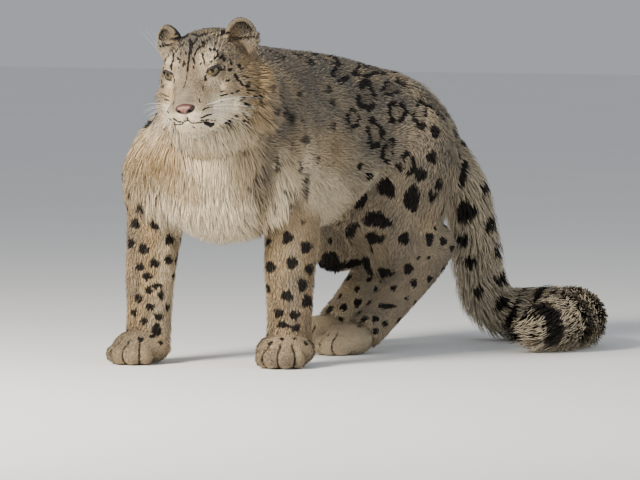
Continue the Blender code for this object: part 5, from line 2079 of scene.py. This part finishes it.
@dataclass
class Coat:
    """All the tufts of the coat.

    Args:
        skin: the skin that they grow from.
        markings: the markings.
        anatomy: the bones.
        groups: name, slot and regions of each group of pieces.
    """

    skin: Skin
    markings: Markings
    anatomy: Anatomy
    groups: tuple = (
        ("coat_back", "spotted_coat", (Region.TRUNK,)),
        ("coat_neck", "pale_coat", (Region.NECK,)),
        ("coat_head", "spotted_coat", (Region.HEAD,)),
        ("coat_forelegs", "leg_coat", FORELEGS),
        ("coat_thighs", "spotted_coat", THIGHS),
        ("coat_feet", "leg_coat", FEET),
        ("coat_paws", "pale_coat", PAW_REGIONS),
        ("coat_tail", "tail_coat", (Region.TAIL,)),
    )

    def roots(self) -> Tufts:
        """Spreads the roots over the skin, closer where tufts are small.

        Returns:
            The tufts.
        """
        mesh = self.skin.piece.data
        surface = self.skin.surface
        faces = np.empty(len(mesh.polygons) * 3, np.int32)
        mesh.loops.foreach_get("vertex_index", faces)
        faces = faces.reshape(-1, 3)
        corners = surface.points[faces]
        edge = corners[:, 1:] - corners[:, :1]
        area = np.linalg.norm(np.cross(edge[:, 0], edge[:, 1]), axis=1) / 2
        middles, region = corners.mean(1), surface.region[faces[:, 0]]
        values = surface.values[faces].mean(1)
        need = 1.0 / np.power(values[:, LENGTH] * values[:, WIDTH], 0.86)
        crowd = np.array([CROWD[part] for part in Region])
        need *= crowd[region] * (1 + 1.1 * step(0.036, 0.050, values[:, LENGTH]))
        need *= 1 + 2.6 * np.where(np.isin(region, BODY), ledge_of(middles), 0.0)
        need *= 1 + 0.6 * ear_base(middles)
        low = corners[:, :, 2].mean(1) < 0.0045
        facing = surface.normals[faces].mean(1)
        need = np.where(low & (facing[:, 2] < -0.5), 0.0, need)
        need *= 1 - step(0.3, 0.8, bare_face(surface.points)[faces].mean(1))
        need = np.where(self.covered(middles), 0.0, need)
        reach = np.cumsum(area * need)
        chance = np.random.default_rng(SEED)
        picks = (np.arange(TUFTS) + chance.uniform(0, 1, TUFTS)) / TUFTS * reach[-1]
        index = np.minimum(np.searchsorted(reach, picks), len(faces) - 1)
        first, second = chance.uniform(0, 1, TUFTS), chance.uniform(0, 1, TUFTS)
        over = first + second > 1
        first[over], second[over] = 1 - first[over], 1 - second[over]
        shares = np.stack([1 - first - second, first, second], 1)[:, :, None]
        picked = faces[index]
        points = (surface.points[picked] * shares).sum(1)
        normals = unit((surface.normals[picked] * shares).sum(1))
        grown = Surface(points, normals)
        self.anatomy.read(grown)
        self.markings.tint(grown)
        return Tufts(grown, chance=chance.uniform(0, 1, TUFTS))

    def covered(self, points: np.ndarray) -> np.ndarray:
        """Tells which places lie under the nose or the eyes, where no hair grows.

        Args:
            points: places.

        Returns:
            True where they do.
        """
        local = in_head(points)
        found = off_nose(local, 1.04) < 1
        for side in (1, -1):
            offset = local - np.array(sided(EYE_PLACE, side))
            found |= np.linalg.norm(offset, axis=1) < EYE_RADIUS + 0.0006
        return found

    def lines(self, tufts: Tufts) -> tuple:
        """Bends every tuft's centre line and draws neighbours' tips together.

        Args:
            tufts: the roots.

        Returns:
            Four points a tuft, and each tuft's width direction and width.
        """
        surface = tufts.surface
        count = len(surface.points)
        chance = np.random.default_rng(SEED + 2)
        length = surface.values[:, LENGTH] * chance.uniform(0.72, 1.18, count)
        width = surface.values[:, WIDTH] * chance.uniform(0.8, 1.2, count)
        lift = np.radians(surface.values[:, LIFT] * chance.uniform(0.65, 1.35, count))
        lie, normal = surface.lie, surface.normals
        side = np.cross(normal, lie)
        sway = 0.22 * waves(surface.points, 26.0, 3) + chance.normal(0, 0.13, count)
        lie = flat_on(lie + side * sway[:, None], normal)
        side = np.cross(normal, lie)
        start = surface.points - normal * (0.0008 + 0.035 * length)[:, None]
        points = [start]
        for share, ease in ((0.36, 0.92), (0.34, 0.55), (0.30, 0.20)):
            angle = lift * ease
            way = lie * np.cos(angle)[:, None] + normal * np.sin(angle)[:, None]
            points.append(points[-1] + way * (length * share)[:, None])
        lines = np.stack(points, 1)
        steps = np.array((0.0, 0.1, 0.5, 1.0))
        droop = np.where(length > 0.030, length * 0.10, 0.0)
        lines[:, :, 2] -= droop[:, None] * steps
        self.clump(lines, chance)
        floor = 0.0012 + 0.0025 * chance.uniform(0, 1, (count, 1))
        lines[:, :, 2] = np.maximum(lines[:, :, 2], floor)
        return lines, side, width

    def colour(self, tufts: Tufts, lines: np.ndarray) -> None:
        """Reads the markings where each part of a tuft shows, so that they stay crisp.

        Args:
            tufts: all the tufts, which are changed.
            lines: their centre lines.
        """
        surface = tufts.surface
        darks, cores = [], []
        for row in (1, 2, 3):
            points = lines[:, row]
            height = dots(points - lines[:, 0], surface.normals)[:, None]
            points = points - surface.normals * height
            travel = surface.travel.copy()
            travel[:, 0] += dots(points - lines[:, 0], surface.lie)
            part = replace(surface, points=points, travel=travel)
            dark, core = self.markings.read(part)
            darks.append(dark)
            cores.append(core)
        tufts.dark = np.stack(darks, 1)
        tufts.core = np.stack(cores, 1)

    def clump(self, lines: np.ndarray, chance: np.random.Generator) -> None:
        """Draws tips towards those of a few leading tufts.

        Args:
            lines: the centre lines, which are changed.
            chance: random numbers.
        """
        count = len(lines)
        leaders = chance.permutation(count)[: count // CLUMP_SHARE]
        tree = kdtree.KDTree(len(leaders))
        for number, index in enumerate(leaders):
            tree.insert(lines[index, 1], number)
        tree.balance()
        nearest = np.array([tree.find(point)[1] for point in lines[:, 1]])
        target = lines[leaders[nearest]]
        apart = np.linalg.norm(target[:, 1] - lines[:, 1], axis=1)
        length = np.linalg.norm(lines[:, 3] - lines[:, 0], axis=1)
        pull = 0.50 * (1 - step(0.35, 0.9, apart / length)) * chance.uniform(0.5, 1.0, count)
        for row, share in ((2, 0.45), (3, 1.0)):
            lines[:, row] += (target[:, row] - lines[:, row]) * (pull * share)[:, None]

    def corners(self, shape: list, kind: tuple) -> np.ndarray:
        """Sets the rings and the tip of tufts of one kind.

        Args:
            shape: their lines, sides, widths and normals.
            kind: place on the line, width and place along, for each ring.

        Returns:
            As many points for each tuft, ring by ring, and the tip.
        """
        lines, side, width, normal = shape
        found = []
        for place, share, _ in kind:
            half = (width * share * 0.5)[:, None]
            low = int(place)
            following = lines[:, min(low + 1, 3)]
            centre = lines[:, low] * (1 - place + low) + following * (place - low)
            found += [centre - side * half, centre + side * half, centre + normal * half * 0.55]
        return np.stack([*found, lines[:, 3]], 1)

    def faces(self, rings: int) -> np.ndarray:
        """Gives the triangles of one tuft: its root, its walls and its tip.

        Args:
            rings: number of its rings.

        Returns:
            Indices of corners, three a face.
        """
        found = [(0, 2, 1)]
        for ring in range(0, 3 * rings - 3, 3):
            for one, two in ((0, 1), (1, 2), (2, 0)):
                here, there = (ring + one, ring + two), (ring + 3 + one, ring + 3 + two)
                found += [(*here, there[1]), (here[0], there[1], there[0])]
        tip = 3 * rings
        found += [(tip - 3, tip - 2, tip), (tip - 2, tip - 1, tip), (tip - 1, tip - 3, tip)]
        return np.array(found)

    def mesh_of(self, name: str, slot: str, tufts: Tufts, shape: tuple, rows: np.ndarray) -> None:
        """Makes one piece of coat.

        Args:
            name: the piece's name.
            slot: its slot.
            tufts: all the tufts.
            shape: the lines, sides and widths of all tufts.
            rows: the tufts in this piece.
        """
        own = [part[rows] for part in (*shape, tufts.surface.normals)]
        long = np.linalg.norm(own[0][:, 3] - own[0][:, 0], axis=1) > LONG_TUFT
        every, total = [], 0
        for chosen, kind in ((long, LONG_RINGS), (~long, SHORT_RINGS)):
            picked = np.nonzero(chosen)[0]
            points = self.corners([part[picked] for part in own], kind)
            starts = total + np.arange(len(picked)) * points.shape[1]
            triangles = (self.faces(len(kind))[None] + starts[:, None, None]).reshape(-1, 3)
            along = np.array([part for _, _, part in kind for _ in range(3)] + [1.0])
            tone = np.repeat(np.arange(len(kind) + 1), [3] * len(kind) + [1])
            tone = np.maximum(tone - (len(kind) - 2), 0)
            total += points.shape[0] * points.shape[1]
            every.append((points.reshape(-1, 3), triangles, rows[picked], along, tone))
        points, triangles = (np.concatenate([part[k] for part in every]) for k in (0, 1))
        piece = fast_mesh(name, points, triangles)
        values = tufts.surface.values
        kinds = {
            "dark": [tufts.dark[some][:, tone].ravel() for _, _, some, _, tone in every],
            "core": [tufts.core[some][:, tone].ravel() for _, _, some, _, tone in every],
            # place along each tuft, which the finish turns into painted shade near the root
            "along": [np.tile(along, len(some)) for _, _, some, along, _ in every],
        }
        single = {"pale": values[:, PALE], "warm": values[:, WARM], "chance": tufts.chance}
        for key, numbers in single.items():
            kinds[key] = [np.repeat(numbers[some], len(along)) for _, _, some, along, _ in every]
        for attribute, parts in kinds.items():
            mark_points(piece.data, attribute, np.concatenate(parts))
        self.unwrap(piece.data, tufts.surface, rows, every)
        piece.data.materials.append(CoatFinish().material())
        settle(piece, slot)

    def unwrap(self, mesh: bpy.types.Mesh, surface: Surface, rows: np.ndarray, every: list) -> None:
        """Lays each tuft as a small patch at its root's place on the body unrolled.

        Args:
            mesh: the piece's mesh.
            surface: all the roots.
            rows: the tufts in the piece.
            every: corners, triangles, tufts, places along them and tones, kind by kind.
        """
        count = len(rows)
        strips = max(1, int(math.sqrt(count)))
        travel = surface.travel[rows]
        key = travel[:, 0] + surface.region[rows] * REGION_STEP
        rank = np.empty(count, int)
        rank[np.argsort(key, kind="stable")] = np.arange(count)
        strip = np.minimum(rank * strips // count, strips - 1)
        order = np.lexsort((travel[:, 1], strip))
        sizes = np.bincount(strip, minlength=strips)
        firsts = np.concatenate([[0], np.cumsum(sizes)[:-1]])
        place = np.zeros((len(surface.points), 2))
        inside = np.arange(count) - firsts[strip[order]]
        place[rows[order], 0] = (inside + 0.5) / sizes[strip[order]]
        place[rows[order], 1] = (strip[order] + 0.5) / strips
        place = 0.004 + place * (0.992 - TUFT_PATCH)
        spots = []
        for _, _, some, along, _ in every:
            around = np.array([0.0, 1.0, 0.5] * (len(along) // 3) + [0.5])
            patch = np.stack([around, along], 1) * TUFT_PATCH
            spots.append((place[some][:, None] + patch[None]).reshape(-1, 2))
        corners = np.concatenate(spots)
        triangles = np.concatenate([part[1] for part in every])
        layer = mesh.uv_layers.new(name="OFBake")
        layer.data.foreach_set("uv", corners[triangles.ravel()].astype(np.float32).ravel())

    def build(self) -> None:
        """Grows the whole coat."""
        tufts = self.roots()
        LOG.info("roots done")
        shape = self.lines(tufts)
        self.colour(tufts, shape[0])
        LOG.info("lines done")
        for name, slot, regions in self.groups:
            rows = np.nonzero(np.isin(tufts.surface.region, regions))[0]
            key = tufts.surface.travel[rows, 0] + tufts.surface.region[rows] * REGION_STEP
            rows = rows[np.argsort(key, kind="stable")]
            parts = max(1, math.ceil(len(rows) * TUFT_FACES / PIECE_FACES))
            for number, some in enumerate(np.array_split(rows, parts), 1):
                self.mesh_of(f"{name}_{number}", slot, tufts, shape, some)


# ---------------------------------------------------------------- finishes


class Sock:
    """An output of a shader node, with arithmetic.

    Args:
        net: the nodes that it belongs to.
        out: the output socket.
    """

    def __init__(self, net: "Net", out: bpy.types.NodeSocket) -> None:
        """Keeps the nodes and the output."""
        self.net = net
        self.out = out

    def __add__(self, other: "Sock | float") -> "Sock":
        """Adds."""
        return self.net.math("ADD", self, other)

    def __sub__(self, other: "Sock | float") -> "Sock":
        """Takes away."""
        return self.net.math("SUBTRACT", self, other)

    def __rsub__(self, other: float) -> "Sock":
        """Takes itself away from a number."""
        return self.net.math("SUBTRACT", other, self)

    def __mul__(self, other: "Sock | float") -> "Sock":
        """Multiplies."""
        return self.net.math("MULTIPLY", self, other)

    __radd__ = __add__
    __rmul__ = __mul__

    def clamped(self) -> "Sock":
        """Keeps it in 0 to 1."""
        return self.net.math("ADD", self, 0.0, True)

    def between(self, low: float, high: float) -> "Sock":
        """Smooth step from 0 at a low value to 1 at a high one."""
        ends = {"From Min": low, "From Max": high, "Value": self}
        return self.net.node("MapRange", {"interpolation_type": "SMOOTHSTEP"}, ends, "Result")


@dataclass
class Net:
    """The nodes of one material.

    Args:
        tree: their node tree.
    """

    tree: bpy.types.NodeTree

    def node(self, kind: str, settings: dict, sockets: dict, out: int | str = 0) -> Sock:
        """Adds a node.

        Args:
            kind: its type.
            settings: its settings.
            sockets: values or outputs for its inputs.
            out: the output that is wanted.

        Returns:
            That output.
        """
        made = self.tree.nodes.new("ShaderNode" + kind)
        for name, value in settings.items():
            setattr(made, name, value)
        for name, value in sockets.items():
            self.plug(made.inputs[name], value)
        return Sock(self, made.outputs[out])

    def plug(self, socket: bpy.types.NodeSocket, value: "Sock | float | tuple") -> None:
        """Joins a value or an output to an input.

        Args:
            socket: the input.
            value: an output or a constant.
        """
        if isinstance(value, Sock):
            self.tree.links.new(value.out, socket)
        else:
            socket.default_value = value

    def math(self, operation: str, first: object, second: object, clamp: bool = False) -> Sock:
        """Adds a Math node."""
        settings = {"operation": operation, "use_clamp": clamp}
        return self.node("Math", settings, {0: first, 1: second})

    def attribute(self, name: str) -> Sock:
        """Reads an attribute."""
        return self.node("Attribute", {"attribute_name": name}, {}, "Fac")

    def noise(self, scale: float, detail: float = 2.0) -> Sock:
        """Adds noise in object space."""
        place = self.node("TexCoord", {}, {}, "Object")
        return self.node("TexNoise", {}, {"Scale": scale, "Detail": detail, "Vector": place})

    def mix(self, share: object, first: object, second: object) -> Sock:
        """Mixes two colours."""
        ends = [(*one, 1.0) if isinstance(one, tuple) else one for one in (first, second)]
        return self.node("Mix", {"data_type": "RGBA"}, {0: share, 6: ends[0], 7: ends[1]}, 2)

    def scaled(self, colour: Sock, share: object) -> Sock:
        """Makes a colour lighter or darker."""
        return self.node("VectorMath", {"operation": "SCALE"}, {0: colour, "Scale": share})

    def bump(self, height: Sock, strength: float, distance: float) -> Sock:
        """Makes a bump."""
        return self.node("Bump", {}, {"Strength": strength, "Distance": distance, "Height": height})

    def fur(self) -> Sock:
        """Gives the coat's colour from its attributes.

        Returns:
            The colour.
        """
        soft = self.noise(16.0, 3.0).between(0.30, 0.70)
        warm = self.attribute("warm") + (soft - 0.5) * 0.25
        colour = self.mix(warm.clamped(), GREY_FUR, TAN_FUR)
        colour = self.mix(self.attribute("core") * 0.55, colour, CORE_FUR)
        pale = self.attribute("pale") + (soft - 0.5) * 0.16
        return self.mix(pale.clamped(), colour, CREAM_FUR)


@dataclass(frozen=True)
class Finish:
    """A finish made of nodes; each kind gives its own sockets.

    Args:
        name: the material's name.
        roughness: how rough it is.
    """

    name: str = "finish"
    roughness: float = 0.6

    def material(self) -> bpy.types.Material:
        """Makes the material, or finds it.

        Returns:
            The material.
        """
        name = "made_" + self.name
        if name in bpy.data.materials:
            return bpy.data.materials[name]
        made = bpy.data.materials.new(name)
        made.use_nodes = True
        net = Net(made.node_tree)
        shader = made.node_tree.nodes["Principled BSDF"]
        for socket, value in {"Roughness": self.roughness, **self.sockets(net)}.items():
            net.plug(shader.inputs[socket], value)
        return made

    def sockets(self, net: Net) -> dict:
        """Gives what goes into the shader's sockets; net holds the nodes."""
        return {}


@dataclass(frozen=True)
class CoatFinish(Finish):
    """Fur: darker at the root as painted shade, paler at the tip, a little different from tuft to tuft."""

    name: str = "fur"
    roughness: float = 0.60

    def sockets(self, net: Net) -> dict:
        """Gives what goes into the shader's sockets.

        Args:
            net: the nodes.

        Returns:
            Values by socket.
        """
        along, chance = net.attribute("along"), net.attribute("chance")
        # painted shade: darker towards each tuft's root; chance varies the tone from tuft to tuft
        light = (along * 0.28 + 0.80) * (chance * 0.16 + 0.92)
        dark = net.attribute("dark") + (chance - 0.5) * 0.18
        colour = net.mix(dark.between(0.28, 0.62), net.scaled(net.fur(), light), DARK_FUR)
        return {"Base Color": colour, "Specular IOR Level": 0.22}


@dataclass(frozen=True)
class SkinFinish(Finish):
    """The skin under the fur, in the fur's colours darkened as painted shade, with a bump of short hair."""

    name: str = "skin"
    roughness: float = 0.72

    def sockets(self, net: Net) -> dict:
        """Gives what goes into the shader's sockets.

        Args:
            net: the nodes.

        Returns:
            Values by socket.
        """
        dark = net.attribute("dark").between(0.30, 0.65)
        # a fifth darker than the fur: painted shade under the coat, as at the tufts' roots
        colour = net.mix(dark, net.scaled(net.fur(), 0.80), DARK_FUR)
        bump = net.bump(net.noise(900.0, 3.0), 0.35, 0.0006)
        return {"Base Color": colour, "Specular IOR Level": 0.15, "Normal": bump}


@dataclass(frozen=True)
class EyeFinish(Finish):
    """The ball of the eye: round pupil, grey-green iris, dark rim, painted shadow of the upper lid.

    Args:
        pupil: its reach round the line of sight.
        iris: reach of the iris.
    """

    name: str = "eye"
    roughness: float = 0.06
    pupil: float = 0.0034
    iris: float = 0.0112

    def sockets(self, net: Net) -> dict:
        """Gives what goes into the shader's sockets.

        Args:
            net: the nodes.

        Returns:
            Values by socket.
        """
        reach, rays = net.attribute("reach"), net.attribute("ray")
        streaks = net.node("TexNoise", {"noise_dimensions": "1D"}, {"Scale": 46.0, "W": rays})
        streaks = streaks.between(0.30, 0.70)
        iris = net.mix(streaks, (0.075, 0.064, 0.028), (0.150, 0.128, 0.062))
        iris = net.mix(reach.between(self.pupil, 0.0070), (0.170, 0.112, 0.035), iris)
        iris = net.mix(reach.between(0.0092, self.iris), iris, (0.02, 0.018, 0.012))
        # painted shadow of the upper lid over the top of the iris
        iris = net.mix(net.attribute("lid") * 0.85, iris, (0.018, 0.015, 0.010))
        white = net.mix(reach.between(self.iris, 0.0120), iris, (0.012, 0.009, 0.008))
        colour = net.mix(reach.between(self.pupil, 0.0038), (0.004, 0.004, 0.004), white)
        shine = {"Specular IOR Level": 0.12, "Coat Weight": 0.35, "Coat Roughness": 0.03}
        return {"Base Color": colour, **shine}


@dataclass(frozen=True)
class LeatherFinish(Finish):
    """Bare leather of the nose.

    Args:
        colour: its colour.
        edge: colour of its dark edges and of the painted shade in the nostrils.
    """

    name: str = "nose_leather"
    roughness: float = 0.42
    colour: tuple = (0.250, 0.100, 0.076)
    edge: tuple = (0.030, 0.016, 0.013)

    def sockets(self, net: Net) -> dict:
        """Gives what goes into the shader's sockets.

        Args:
            net: the nodes.

        Returns:
            Values by socket.
        """
        place = net.node("TexCoord", {}, {}, "Object")
        cells = net.node("TexVoronoi", {}, {"Scale": 900.0, "Vector": place}, "Distance")
        soft = net.noise(120.0).between(0.35, 0.70)
        colour = net.mix(soft * 0.4, self.colour, self.edge)
        # dark holds the painted shade of the nostrils and the darker bottom and top of the leather
        colour = net.mix(net.attribute("dark"), colour, self.edge)
        return {"Base Color": colour, "Normal": net.bump(cells, 0.30, 0.0006)}


@dataclass(frozen=True)
class PlainFinish(Finish):
    """One colour with a little noise, for whiskers, lid rims and the floor.

    Args:
        colour: its colour.
        spread: how much darker the noise makes it.
        scale: scale of the noise.
    """

    name: str = "plain"
    colour: tuple = (0.8, 0.8, 0.8)
    spread: float = 0.1
    scale: float = 40.0

    def sockets(self, net: Net) -> dict:
        """Gives what goes into the shader's sockets.

        Args:
            net: the nodes.

        Returns:
            Values by socket.
        """
        soft = net.noise(self.scale).between(0.3, 0.7)
        other = tuple(part * (1 - self.spread) for part in self.colour)
        return {"Base Color": net.mix(soft, self.colour, other)}


# ---------------------------------------------------------------- face


@dataclass
class Eye:
    """One eye with the dark rim of its lids.

    Args:
        side: 1 for left, -1 for right.
    """

    side: int

    @property
    def name(self) -> str:
        """Name of the solid that the eye replaces."""
        return "eye_left" if self.side > 0 else "eye_right"

    def build(self) -> None:
        """Makes the ball and the rim."""
        place = head_place()
        eye = ball("ball_" + self.name, Vector(), (EYE_RADIUS,) * 3, None, 72)
        points, _ = corners_of(eye.data)
        gaze = np.array((0.0050 * self.side, -0.0150, 0.0004))
        gaze /= np.linalg.norm(gaze)
        cosine = np.clip(points @ gaze / EYE_RADIUS, -1, 1)
        mark_points(eye.data, "reach", np.arccos(cosine) * EYE_RADIUS)
        rise = np.array((0.0, 0.0, 1.0)) - gaze * gaze[2]
        aside = np.cross(rise, gaze)
        # share of painted lid shadow, growing towards the top of the ball
        mark_points(eye.data, "lid", step(-0.0005, 0.0060, points[:, 2]))
        mark_points(eye.data, "ray", np.abs(np.arctan2(points @ aside, points @ rise)))
        bulge = 0.0010 * (1 - step(0.0, 0.0105, np.arccos(cosine) * EYE_RADIUS))
        points *= (1 + bulge / EYE_RADIUS)[:, None]
        move_corners(eye.data, points)
        eye.data.transform(place @ Matrix.Translation(sided(EYE_PLACE, self.side)))
        smooth(eye.data)
        eye.data.materials.append(EyeFinish().material())
        settle(eye, "eye")
        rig.replaces(eye, self.name)
        self.rim(place)

    def rim(self, place: Matrix) -> None:
        """Makes the dark rim that lines the opening.

        Args:
            place: the head's place.
        """
        flat = almond(self.side, 0.0006, 56)
        rise = [max(0.0, min(1.0, (point.z - EYE_PLACE.z) / 0.004)) for point in flat]
        thick = [0.00105 + 0.00085 * share for share in rise]
        line = [place @ point for point in flat]
        rim = tubes("lid_" + self.name, [(line + line[:2], thick + thick[:2])], 10)
        dark = PlainFinish("lid_skin", 0.62, (0.012, 0.009, 0.008), 0.3, 300.0)
        rim.data.materials.append(dark.material())
        settle(rim, "eye")


@dataclass
class Nose:
    """The nose leather.

    Args:
        place: its middle in the head's frame.
        size: its half sizes.
    """

    place: Vector
    size: Vector

    def build(self) -> None:
        """Makes the leather with its two nostrils."""
        nose = ball("nose_pad", Vector(), (1.0, 1.0, 1.0), None, 72)
        points, _ = corners_of(nose.data)
        x, y, z = points.T
        taper = 0.66 + 0.34 * step(-0.9, 0.35, z)
        top = 1.0 - 0.10 * step(0.2, 1.0, z) * (1 - np.abs(x))
        shaped = np.stack([x * taper * self.size.x, y * self.size.y, z * top * self.size.z], 1)
        fold = np.exp(-((shaped[:, 0] / 0.0012) ** 2)) * (y < 0) * step(0.5, -0.2, z)
        shaped[:, 1] += fold * 0.0016
        wings = np.exp(-(((np.abs(shaped[:, 0]) - 0.0125) / 0.0050) ** 2))
        shaped[:, 1] -= wings * (y < 0) * step(-0.9, -0.2, z) * 0.0012
        shaped[:, 2] = shaped[:, 2] * NOSE_LOW[0] + NOSE_LOW[1]
        move_corners(nose.data, shaped)
        nose.data.transform(Matrix.Translation(self.place))
        for side in (1, -1):
            centre = sided(NOSTRIL_PLACE, side)
            centre.z = self.place.z + (centre.z - self.place.z) * NOSE_LOW[0] + NOSE_LOW[1]
            turn = turned(side, 0.0, 24.0, 0.0)
            boolean(nose, ball("nostril", centre, NOSTRIL_SIZE, turn, 24), "DIFFERENCE")
            slit = centre + Vector((0.0048 * side, 0.0012, -0.0006))
            cutter = ball("slit", slit, (0.0042, 0.0050, 0.0013), turned(side, 0.0, -20.0, 0.0), 20)
            boolean(nose, cutter, "DIFFERENCE")
        points, _ = corners_of(nose.data)
        high = (points[:, 2] - self.place.z - NOSE_LOW[1]) / NOSE_LOW[0]
        flat = np.stack([np.abs(points[:, 0]), high], 1)
        dark = np.zeros(len(points))
        # painted shade in the openings of the nostrils; then darker towards the bottom and the top edge
        for near, far in zip(NOSTRIL_LINE, NOSTRIL_LINE[1:]):
            dark = np.maximum(dark, 1 - step(0.0036, 0.0066, apart_from(flat, near, far)))
        dark = np.maximum(dark, 0.8 * step(-0.0085, -0.0115, flat[:, 1]))
        dark = np.maximum(dark, 0.75 * step(0.0060, 0.0115, flat[:, 1] + 0.25 * flat[:, 0]))
        mark_points(nose.data, "dark", dark)
        nose.data.transform(head_place())
        smooth(nose.data)
        nose.data.materials.clear()
        nose.data.materials.append(LeatherFinish().material())
        settle(nose, "nose_leather")
        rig.replaces(nose, "nose")


@dataclass
class Whiskers:
    """The long white whiskers of the lips and brows.

    Args:
        rows: rows on each lip.
        columns: whiskers in a row.
    """

    rows: int = 4
    columns: int = 4

    def build(self) -> None:
        """Makes all the whiskers as one piece."""
        chance = np.random.default_rng(SEED + 4)
        place = head_place()
        lines = []
        for side in (1, -1):
            for row in range(self.rows):
                for column in range(self.columns):
                    root = Vector((0.0275 + 0.0050 * column, -0.1120 + 0.0085 * column, 0.0))
                    root.z = -0.0240 - 0.0058 * row
                    root.x += float(chance.uniform(-0.001, 0.001))
                    reach = float(chance.uniform(0.065, 0.105)) * (0.78 + 0.08 * column)
                    way = Vector((1.0, 0.18 + 0.12 * column, 0.22 - 0.22 * row))
                    lines.append(self.hair(root, way, reach, 0.30, side, chance, 0.00030))
            for k in range(4):
                root = Vector((0.034 + 0.005 * k, -0.060 + 0.004 * k, 0.054))
                way = Vector((0.35 + 0.15 * k, -0.10, 0.9))
                lines.append(self.hair(root, way, 0.045 + 0.006 * k, -0.35, side, chance, 0.00022))
        lines = [([place @ point for point in points], radii) for points, radii in lines]
        piece = tubes("whiskers", lines, 4)
        finish = PlainFinish("whisker", 0.35, (0.85, 0.83, 0.78), 0.1)
        piece.data.materials.append(finish.material())
        settle(piece, "pale_coat")

    def hair(
        self,
        root: Vector,
        way: Vector,
        reach: float,
        bend: float,
        side: int,
        chance: np.random.Generator,
        thick: float,
    ) -> tuple:
        """Bends one whisker.

        Args:
            root: its root on the left side.
            way: its direction there.
            reach: its length.
            bend: how much it falls.
            side: 1 for left, -1 for right.
            chance: random numbers.
            thick: radius at the root.

        Returns:
            Points and radii.
        """
        way = way.normalized()
        bend *= float(chance.uniform(0.6, 1.3))
        points, radii = [], []
        for k in range(9):
            t = k / 8
            fall = Vector((0.0, 0.30 * bend, -bend)) * (reach * t * t)
            points.append(sided(root + way * (reach * t - 0.004) + fall, side))
            radii.append(thick * (1 - 0.88 * t))
        return points, radii


# ---------------------------------------------------------------- studio


@dataclass(frozen=True)
class Studio:
    """Camera, lights and floor.

    Args:
        key: power of the main light.
        fill: power of the light that softens it.
        sky: strength of the light from all round.
    """

    key: float = 205.0
    fill: float = 26.0
    sky: float = 0.44

    def aim(self, thing: bpy.types.Object, target: Vector) -> None:
        """Turns an object to look at a point."""
        thing.rotation_euler = (target - thing.location).to_track_quat("-Z", "Y").to_euler()

    def lamp(self, name: str, place: tuple, power: float, size: float, colour: tuple) -> None:
        """Adds a soft light.

        Args:
            name: its name.
            place: where it is.
            power: its power.
            size: its size.
            colour: its colour.
        """
        light = bpy.data.lights.new(name, "AREA")
        light.energy = power
        light.size = size
        light.color = colour
        lamp = bpy.data.objects.new(name, light)
        bpy.context.scene.collection.objects.link(lamp)
        lamp.location = place
        self.aim(lamp, Vector((0.0, 0.0, 0.25)))

    def build(self) -> None:
        """Sets up the view, the lights and the floor."""
        turn, rise = math.radians(VIEW_TURN), math.radians(VIEW_RISE)
        across = Vector((math.cos(turn), math.sin(turn), 0.0))
        level = math.cos(rise)
        back = Vector((math.sin(turn) * level, -math.cos(turn) * level, math.sin(rise)))
        up = back.cross(across)
        target = VIEW_START + across * VIEW_MIDDLE[0] + up * VIEW_MIDDLE[1] - MIDDLE
        lens = bpy.data.cameras.new("camera")
        lens.sensor_width = 36.0
        lens.lens = 36.0 * VIEW_DISTANCE / VIEW_WIDTH
        lens.clip_end = 60.0
        camera = bpy.data.objects.new("camera", lens)
        bpy.context.scene.collection.objects.link(camera)
        camera.location = target + back * VIEW_DISTANCE
        self.aim(camera, target)
        bpy.context.scene.camera = camera
        place = target - across * 2.0 + back * 1.6 + Vector((0, 0, 1.7))
        self.lamp("key", tuple(place), self.key, 1.1, (1.0, 0.93, 0.82))
        place = target + across * 2.2 + back * 1.8 + Vector((0, 0, 0.9))
        self.lamp("fill", tuple(place), self.fill, 1.8, (0.86, 0.92, 1.0))
        world = bpy.data.worlds.new("sky")
        world.use_nodes = True
        light = world.node_tree.nodes["Background"].inputs
        light["Color"].default_value = (0.90, 0.94, 1.0, 1.0)
        light["Strength"].default_value = self.sky
        bpy.context.scene.world = world
        made = bmesh.new()
        bmesh.ops.create_grid(made, x_segments=8, y_segments=8, size=24.0)
        floor = mesh_object("floor", made)
        finish = PlainFinish("floor", 0.8, (0.90, 0.90, 0.89), 0.02, 1.5)
        floor.data.materials.append(finish.material())
        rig.stage(floor)


def note_size(name: str) -> None:
    """Writes the size of what is in the scene.

    Args:
        name: key in the file.
    """
    low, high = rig.bounds()
    known = {}
    if name != "solids":
        with open(SIZE_FILE, encoding="utf-8") as source:
            known = json.load(source)
    known[name] = {"low": list(low), "high": list(high)}
    with open(SIZE_FILE, "w", encoding="utf-8") as target:
        json.dump(known, target)


def main() -> None:
    """Builds the skin, the coat, the face and the studio."""
    logging.basicConfig(level=logging.INFO, format="%(relativeCreated)d %(message)s")
    note_size("solids")
    anatomy = Anatomy()
    anatomy.build()
    skin = Skin(anatomy)
    skin.build()
    LOG.info("skin done")
    markings = Markings(anatomy)
    markings.build(skin.surface)
    coat = Coat(skin, markings, anatomy)
    coat.build()
    skin.dress(markings)
    for side in (1, -1):
        Eye(side).build()
    Nose(NOSE_PLACE, NOSE_SIZE).build()
    Whiskers().build()
    Studio().build()
    note_size("model")


if __name__ == "__main__":
    main()
